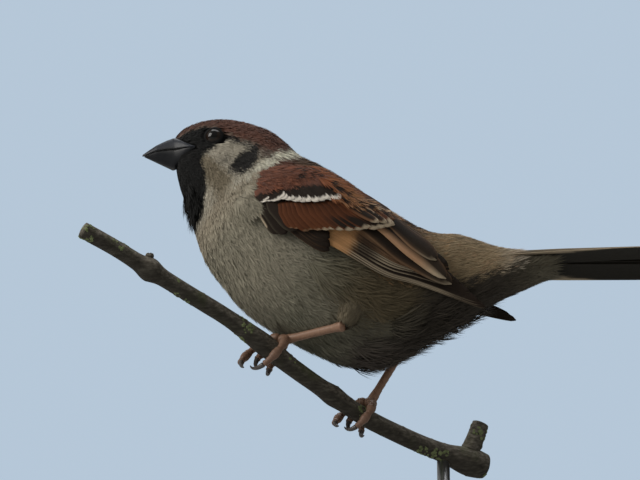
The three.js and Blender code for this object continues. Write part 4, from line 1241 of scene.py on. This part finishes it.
twig = {
    "line": ((-50.0, -30.4, -3.1), (-44.1, -26.9, -5.8), (-35.1, -21.7, -10.5), (-25.9, -16.4, -15.3),
             (-16.6, -11.2, -20.2), (-9.0, -7.0, -25.1), (-2.3, -3.4, -29.9), (7.5, 1.8, -36.0),
             (16.1, 6.4, -41.0), (24.9, 11.0, -44.7), (35.2, 16.2, -48.2), (46.5, 21.8, -51.1)),
    "radius": (1.9, 2.35), "rings": 420, "sides": 40, "relief": 0.13, "seed": 61,
    "swellings": ((0.155, 0.02, 0.9), (0.44, 0.05, 0.55), (0.62, 0.02, 0.35), (0.97, 0.05, 1.3)),
}
stub = {"share": 0.955, "line": ((0, 0, 0), (2.2, 0.8, 4.5), (4.2, 1.6, 9.5)), "radius": (2.5, 2.1), "rings": 60}
bud = {"share": 0.155, "off": (0, -0.6, 2.4), "scales": 6, "splay": 0.55, "run": (-1.2, 1.35), "radius": 0.78}
twigCurve = curveThrough(twig["line"])
twigLength = twigCurve[1][-1]


def twigRadius(share):
    # each swelling is its middle, its spread and how much it adds
    share = np.asarray(share, float)
    swellings = sum(add * np.exp(-((share - middle) / spread) ** 2) for middle, spread, add in twig["swellings"])
    return between(*twig["radius"], share) + swellings


def barkRelief(distance, turn, random, strength):
    # long ridges with the grain, broken across here and there, and a few raised pores
    relief = np.zeros(np.broadcast(distance, turn).shape)
    for wave in range(14):
        around, along = random.integers(2, 9), random.uniform(0.25, 1.6)
        slant = along * random.choice((-1, 1)) * 0.4
        relief += np.sin(turn * around + distance * slant + random.uniform(0, 6.28)) / 14
    for _ in range(60):
        middle, angle = random.uniform(0, distance.max()), random.uniform(0, 6.28)
        off = np.angle(np.exp(1j * (turn - angle))) * 2.0
        relief += 0.9 * np.exp(-((distance - middle) / 0.35) ** 2 - (off / 0.5) ** 2)
    return relief * strength


def addTwig():
    random = np.random.default_rng(twig["seed"])
    turn = turns(twig["sides"])[None]
    share = np.linspace(0, 1, twig["rings"])
    radius = twigRadius(share)[:, None] + barkRelief(share[:, None] * twigLength, turn, random, twig["relief"])
    parts = [sweep(pointAt(twigCurve, share), radius, dome=0.15)]
    side = curveThrough(pointAt(twigCurve, stub["share"]) + np.array(stub["line"]))
    share = np.linspace(0, 1, stub["rings"])
    relief = barkRelief(share[:, None] * 10, turn, random, twig["relief"])
    parts.append(sweep(pointAt(side, share), between(*stub["radius"], share)[:, None] + relief, (0, 1, 0), 0.1))
    # bud scales at the first knot
    knot = pointAt(twigCurve, bud["share"]) + bud["off"]
    shape = bud["radius"] * np.sqrt(np.clip(1 - np.linspace(-0.9, 0.98, 12) ** 2, 0.01, 1))
    for angle in turns(bud["scales"]):
        lean = np.array((np.cos(angle) * bud["splay"], np.sin(angle) * bud["splay"], 1.0))
        path = knot + lean * np.linspace(*bud["run"], 12)[:, None]
        parts.append(sweep(path, np.repeat(shape[:, None], 10, axis=1), (0.3, 1, 0.1)))
    return joinedSweeps("twig", parts)


def makeBarkMaterial():
    material, tree, shader = newMaterial("bark", 0.9, 0.25)
    place = node(tree, "ShaderNodeTexCoord").outputs["Object"]
    # the grain runs with the twig's slant
    slant = (0, math.radians(28), math.radians(28))
    grain = node(tree, "ShaderNodeMapping", Vector=place, Rotation=slant, Scale=(0.35, 1.6, 1.6))
    lines = node(tree, "ShaderNodeTexNoise", Vector=grain.outputs[0], Scale=900.0, Detail=6.0, Roughness=0.65)
    lines = lines.outputs["Fac"]
    low, middle, high = (0.3, (0.040, 0.034, 0.027)), (0.5, (0.125, 0.110, 0.088)), (0.70, (0.27, 0.245, 0.20))
    bark = colourRamp(tree, lines, low, high, middle)
    patches = node(tree, "ShaderNodeTexNoise", Vector=place, Scale=160.0, Detail=3.0)
    mask = node(tree, "ShaderNodeMapRange", Value=patches.outputs["Fac"], From_Min=0.55, From_Max=0.7)
    mossy = mixColours(tree, maths(tree, "MULTIPLY", mask.outputs[0], 0.45), bark, (0.10, 0.12, 0.045, 1))
    # the underside is painted darker than the top: painted shade
    facing = node(tree, "ShaderNodeSeparateXYZ", Vector=node(tree, "ShaderNodeNewGeometry").outputs["Normal"])
    shaded = node(tree, "ShaderNodeMapRange", Value=facing.outputs["Z"], From_Min=0.45, From_Max=-0.35)
    underShade = mixColours(tree, maths(tree, "MULTIPLY", shaded.outputs[0], 0.75), mossy, (0.022, 0.020, 0.016, 1))
    tree.links.new(underShade, shader.inputs["Base Color"])
    bumped(tree, shader, lines, 0.7, 0.0002)
    return material


dress(addTwig(), makeBarkMaterial(), "bark", "perch_twig")

lichen = {"density": 1.6e6, "size": 1.0, "seed": 7, "flake": 0.38, "lobes": 5, "tint": (0.16, 0.19, 0.085)}


def makeLichenNodes(flake, material):
    # small flakes strewn over the bark, each turned to the surface
    tree = bpy.data.node_groups.new("lichen", "GeometryNodeTree")
    for way in ("INPUT", "OUTPUT"):
        tree.interface.new_socket("Geometry", in_out=way, socket_type="NodeSocketGeometry")
    for label, kind in (("Density", "NodeSocketFloat"), ("Size", "NodeSocketFloat"), ("Seed", "NodeSocketInt")):
        tree.interface.new_socket(label, in_out="INPUT", socket_type=kind)
    start, end = tree.nodes.new("NodeGroupInput").outputs, tree.nodes.new("NodeGroupOutput").inputs
    noise = node(tree, "ShaderNodeTexNoise", Scale=130.0, Detail=2.0)
    chosen = node(tree, "FunctionNodeCompare", {"operation": "GREATER_THAN"}, i0=noise.outputs["Fac"], i1=0.575)
    points = node(tree, "GeometryNodeDistributePointsOnFaces", {"distribute_method": "RANDOM"},
                  Mesh=start["Geometry"], Selection=chosen.outputs[0], Density=start["Density"], Seed=start["Seed"])
    span = node(tree, "FunctionNodeRandomValue", {"data_type": "FLOAT"}, i2=0.5, i3=1.3, Seed=start["Seed"])
    size = maths(tree, "MULTIPLY", span.outputs[1], start["Size"])
    strewn = node(tree, "GeometryNodeInstanceOnPoints", Points=points.outputs["Points"], Scale=size,
                  Instance=node(tree, "GeometryNodeObjectInfo", Object=flake).outputs["Geometry"],
                  Rotation=points.outputs["Rotation"])
    real = node(tree, "GeometryNodeRealizeInstances", Geometry=strewn.outputs[0])
    painted = node(tree, "GeometryNodeSetMaterial", Geometry=real.outputs[0], Material=material)
    tree.links.new(painted.outputs[0], end["Geometry"])
    return tree


def makeFlake():
    # a low lobed dome
    turn = turns(12)
    lobes = 1 + 0.22 * np.sin(turn * lichen["lobes"])
    rings = [np.stack([r * lobes * np.cos(turn), r * lobes * np.sin(turn), z + 0 * turn], -1)
             for r, z in ((1.0, -0.12), (0.8, 0.16), (0.4, 0.3))]
    return facingOut(meshObject("flake", np.vstack(rings) * lichen["flake"] * mm, tubeFaces(3, 12)))


def addLichen():
    flake = makeFlake()
    material, tree, shader = newMaterial("lichen", 0.95)
    varied = grouped(tree, softVariation, Color=(*lichen["tint"], 1), Scale=900.0, Amount=0.5)
    tree.links.new(varied["Color"], shader.inputs["Base Color"])
    host = bpy.data.objects.new("lichen", bpy.data.objects["twig"].data.copy())
    bpy.context.collection.objects.link(host)
    modifier = host.modifiers.new("lichen", "NODES")
    modifier.node_group = makeLichenNodes(flake, material)
    for item in modifier.node_group.interface.items_tree:
        if item.name.lower() in lichen:
            modifier[item.identifier] = lichen[item.name.lower()]
    evaluated(host)
    bpy.data.objects.remove(flake)
    dress(host, material, "bark")
    print("lichen:", len(host.data.polygons), "faces")


addLichen()
print("twig ready")

# shanks, toes and claws, in millimetres
foot = {
    "shankRadius": 1.0, "shankRings": 160, "shankScales": 11, "toeRadius": 1.05, "toeRings": 90, "toeScales": 13,
    "clawRadius": (0.66, 0.14), "clawRings": 40, "clawBow": 0.35, "solePad": 1.55, "padRings": 24,
    "sides": 20, "clawSides": 14, "pink": np.array((0.27, 0.155, 0.10)), "dark": np.array((0.15, 0.085, 0.062)),
    "claw": np.array((0.085, 0.075, 0.07)),
    # the toe's root and tip and the claw's tip: degrees round the twig, millimetres along it and off it
    "toes": {
        "hind": ((-12, 0, 0), (-146, -2.0, 1.5), (-196, -3.2, 1.2)),
        "inner": ((16, -0.2, 0), (116, -1.8, 0.4), (172, -1.6, 0.7)),
        "middle": ((8, -1.2, 0), (158, -5.6, 1.6), (186, -5.4, 2.6)),
        "outer": ((14, 1.0, 0), (126, 2.0, 0.4), (180, 1.6, 0.7)),
    },
}


def besideTwig(share, degrees, out):
    tangent = tangentAt(twigCurve, share)
    far = unit(np.cross((0, 0, 1.0), tangent))
    angle = np.radians(degrees)[..., None]
    around = np.cross(tangent, far) * np.cos(angle) + far * np.sin(angle)
    return pointAt(twigCurve, share) + around * np.asarray(out)[..., None]


def gripPath(leg, start, end, bow, steps):
    t = np.linspace(0, 1, steps)
    degrees, shift = between(start[0], end[0], t), between(start[1], end[1], t)
    slack = leg["hang"] * between(start[2], end[2], t ** 1.5) + bow * np.sin(t * math.pi)
    share = leg["grip"] + shift / twigLength
    return besideTwig(share, degrees, twigRadius(share) + foot["toeRadius"] + 0.4 + slack)


def scaled(radius, t, count, depth):
    # scutes: overlapping plates over the upper side, shallow steps that fade out underneath
    over = np.clip(np.cos(turns(foot["sides"])) * 0.7 + 0.5, 0, 1)
    return radius[:, None] * (1 + depth * (((t * count) % 1.0)[:, None] - 0.5) * over)


def ringed(colours, sides):
    # a colour for each ring of a sweep, and for its two ends
    return np.concatenate([np.repeat(colours, sides, axis=0), colours[[0, -1]]])


def banded(colours, t, count, start, strength):
    # dark seams between the scales
    seams = np.repeat(smooth((t * count) % 1.0, start, 1.0) * strength, foot["sides"])
    return mix(ringed(colours, foot["sides"]), foot["dark"], np.concatenate([seams, [0, 0]]))


def addLeg(name, leg):
    sole = besideTwig(np.array(leg["grip"]), np.array(0.0), twigRadius(leg["grip"]) + foot["solePad"] + 0.1)
    heel = np.array(leg["heel"], float)
    t = np.linspace(0, 1, foot["shankRings"])
    radius = foot["shankRadius"] * (1 + 0.25 * (1 - smooth(t, 0, 0.2)) + 0.3 * smooth(t, 0.82, 1))
    path = between(sole, heel, (0.05 + 0.95 * t)[:, None])
    shank = sweep(path, scaled(radius, t, foot["shankScales"], 0.09), (1, 0, 0))
    shade = banded(np.tile(foot["pink"], (len(t), 1)), t, foot["shankScales"], 0.86, 0.5)
    dress(joinedSweeps("tarsus" + name.title(), [shank], [shade]), legMaterial, "leg_skin", "tarsus_" + name)

    parts, shades = [], []
    for toeName, (root, tip, clawTip) in foot["toes"].items():
        t = np.linspace(0, 1, foot["toeRings"])
        joints = 1.08 - 0.24 * t + 0.10 * np.sin(t * 19) + 0.10 * np.sin(t * 19 - 1.0) ** 3
        shape = scaled(foot["toeRadius"] * joints, t, foot["toeScales"], 0.10)
        parts.append(sweep(gripPath(leg, root, tip, 0, len(t)), shape, (0.2, 0.1, 1)))
        shades.append(banded(mix(foot["pink"] * 0.85, foot["dark"], 0.45 * t), t, foot["toeScales"], 0.84, 0.55))
        # the claw goes on from four degrees past the toe's tip
        reach = abs(tip[0] - root[0])
        start = [*(between(root[i], tip[i], 1 + 4 / reach) for i in range(2)), tip[2]]
        t = np.linspace(0, 1, foot["clawRings"])
        shape = np.repeat(between(*foot["clawRadius"], t ** 1.2)[:, None], foot["clawSides"], axis=1)
        claw = sweep(gripPath(leg, start, clawTip, foot["clawBow"], len(t)), shape, (0.2, 0.1, 1))
        tint = ringed(mix(foot["claw"], foot["claw"] * 0.35, t), foot["clawSides"])
        obj = joinedSweeps("claw" + name.title() + toeName.title(), [claw], [tint])
        dress(obj, clawMaterial, "horn_claw", "claw_" + name + "_" + toeName)
    # the pad where the toes meet, with the ankle on it
    t = np.linspace(-0.96, 0.96, foot["padRings"])[:, None]
    shape = np.repeat(foot["solePad"] * np.sqrt(1 - t ** 2), foot["sides"], axis=1)
    pad = sweep(sole + unit(heel - sole) * t * foot["solePad"], shape, (1, 0, 0))
    parts.append(pad)
    shades.append(np.tile(foot["pink"] * 0.8, (len(pad[0]), 1)))
    dress(joinedSweeps("toes" + name.title(), parts, shades), legMaterial, "leg_skin", "foot_" + name)


for name, leg in legs.items():
    addLeg(name, leg)
print("legs ready")

# the stand, in millimetres
stand = {"radius": 42.0, "height": 8.0, "bevel": 1.2, "face": 30.0, "rod": 1.6, "gap": 0.3, "share": 0.9,
         "collar": {"wide": 4.2, "narrow": 3.2, "tall": 3.0}}


def lathe(name, profile, centre=(0, 0), sides=128):
    # the profile is rows of radius and height
    radius, height = np.array(profile, float).T[..., None]
    turn = turns(sides)
    points = np.stack([radius * np.cos(turn) + centre[0], radius * np.sin(turn) + centre[1], height + 0 * turn], -1)
    return facingOut(meshObject(name, points.reshape(-1, 3) * mm, tubeFaces(len(profile), sides)))


def roundedEdge(radius, low, high, bevel, steps=8):
    turn = np.linspace(0, math.pi / 2, steps)
    lower = [(radius - bevel * 0.5 * (1 - math.sin(a)), low + bevel * 0.5 * (1 - math.cos(a))) for a in turn]
    return lower + [(radius - bevel * (1 - math.cos(a)), high - bevel * (1 - math.sin(a))) for a in turn]


def stretchedNoise(tree, stretch, **look):
    place = node(tree, "ShaderNodeTexCoord").outputs["Object"]
    grain = node(tree, "ShaderNodeMapping", Vector=place, Scale=stretch)
    return node(tree, "ShaderNodeTexNoise", Vector=grain.outputs[0], **look).outputs["Fac"]


def makeWoodMaterial():
    material, tree, shader = newMaterial("standWood", 0.38, coat=0.25)
    grain = stretchedNoise(tree, (1.0, 9.0, 5.0), Scale=45.0, Detail=5.0, Distortion=0.6)
    wood = colourRamp(tree, grain, (0.35, (0.020, 0.012, 0.008)), (0.68, (0.075, 0.042, 0.024)))
    tree.links.new(wood, shader.inputs["Base Color"])
    bumped(tree, shader, grain, 0.15, 0.0002)
    return material


def makeSteelMaterial():
    material, tree, shader = newMaterial("standSteel", 0.32)
    brushed = stretchedNoise(tree, (1.0, 1.0, 14.0), Scale=260.0, Detail=3.0)
    rough = node(tree, "ShaderNodeMapRange", Value=brushed, To_Min=0.26, To_Max=0.42)
    tint = grouped(tree, softVariation, Color=(0.60, 0.61, 0.62, 1), Scale=300.0, Amount=0.06)
    tree.links.new(tint["Color"], shader.inputs["Base Color"])
    tree.links.new(rough.outputs[0], shader.inputs["Roughness"])
    shader.inputs["Metallic"].default_value = 1.0
    return material


def addStand():
    place = pointAt(twigCurve, stand["share"]) + specimenPlace
    height, centre, axis = stand["height"], place[:2], 0.01
    steel = makeSteelMaterial()
    edge = roundedEdge(stand["radius"], 0, height, stand["bevel"])
    base = lathe("standBase", [(axis, 0), *edge, (stand["face"], height), (axis, height)], sides=160)
    dress(base, makeWoodMaterial(), "stand_wood", "stand_base")
    wide, narrow, tall = (stand["collar"][key] for key in ("wide", "narrow", "tall"))
    low, bore = height + stand["gap"], stand["rod"] + stand["gap"]
    profile = [(bore, low), (wide, low), (wide, low + 0.5), (narrow + 0.25, low + tall - 0.3), (narrow, low + tall),
               (bore + 0.1, low + tall), (bore, low + tall - 0.1)]
    dress(lathe("standCollar", profile, centre, 64), steel, "stand_steel", "stand_collar")
    top = place[2] - twigRadius(stand["share"]) * 0.8
    profile = [(axis, low), (stand["rod"], low), (stand["rod"], top), (axis, top)]
    dress(lathe("standRod", profile, centre, 48), steel, "stand_steel", "stand_rod")


addStand()
print("stand ready")
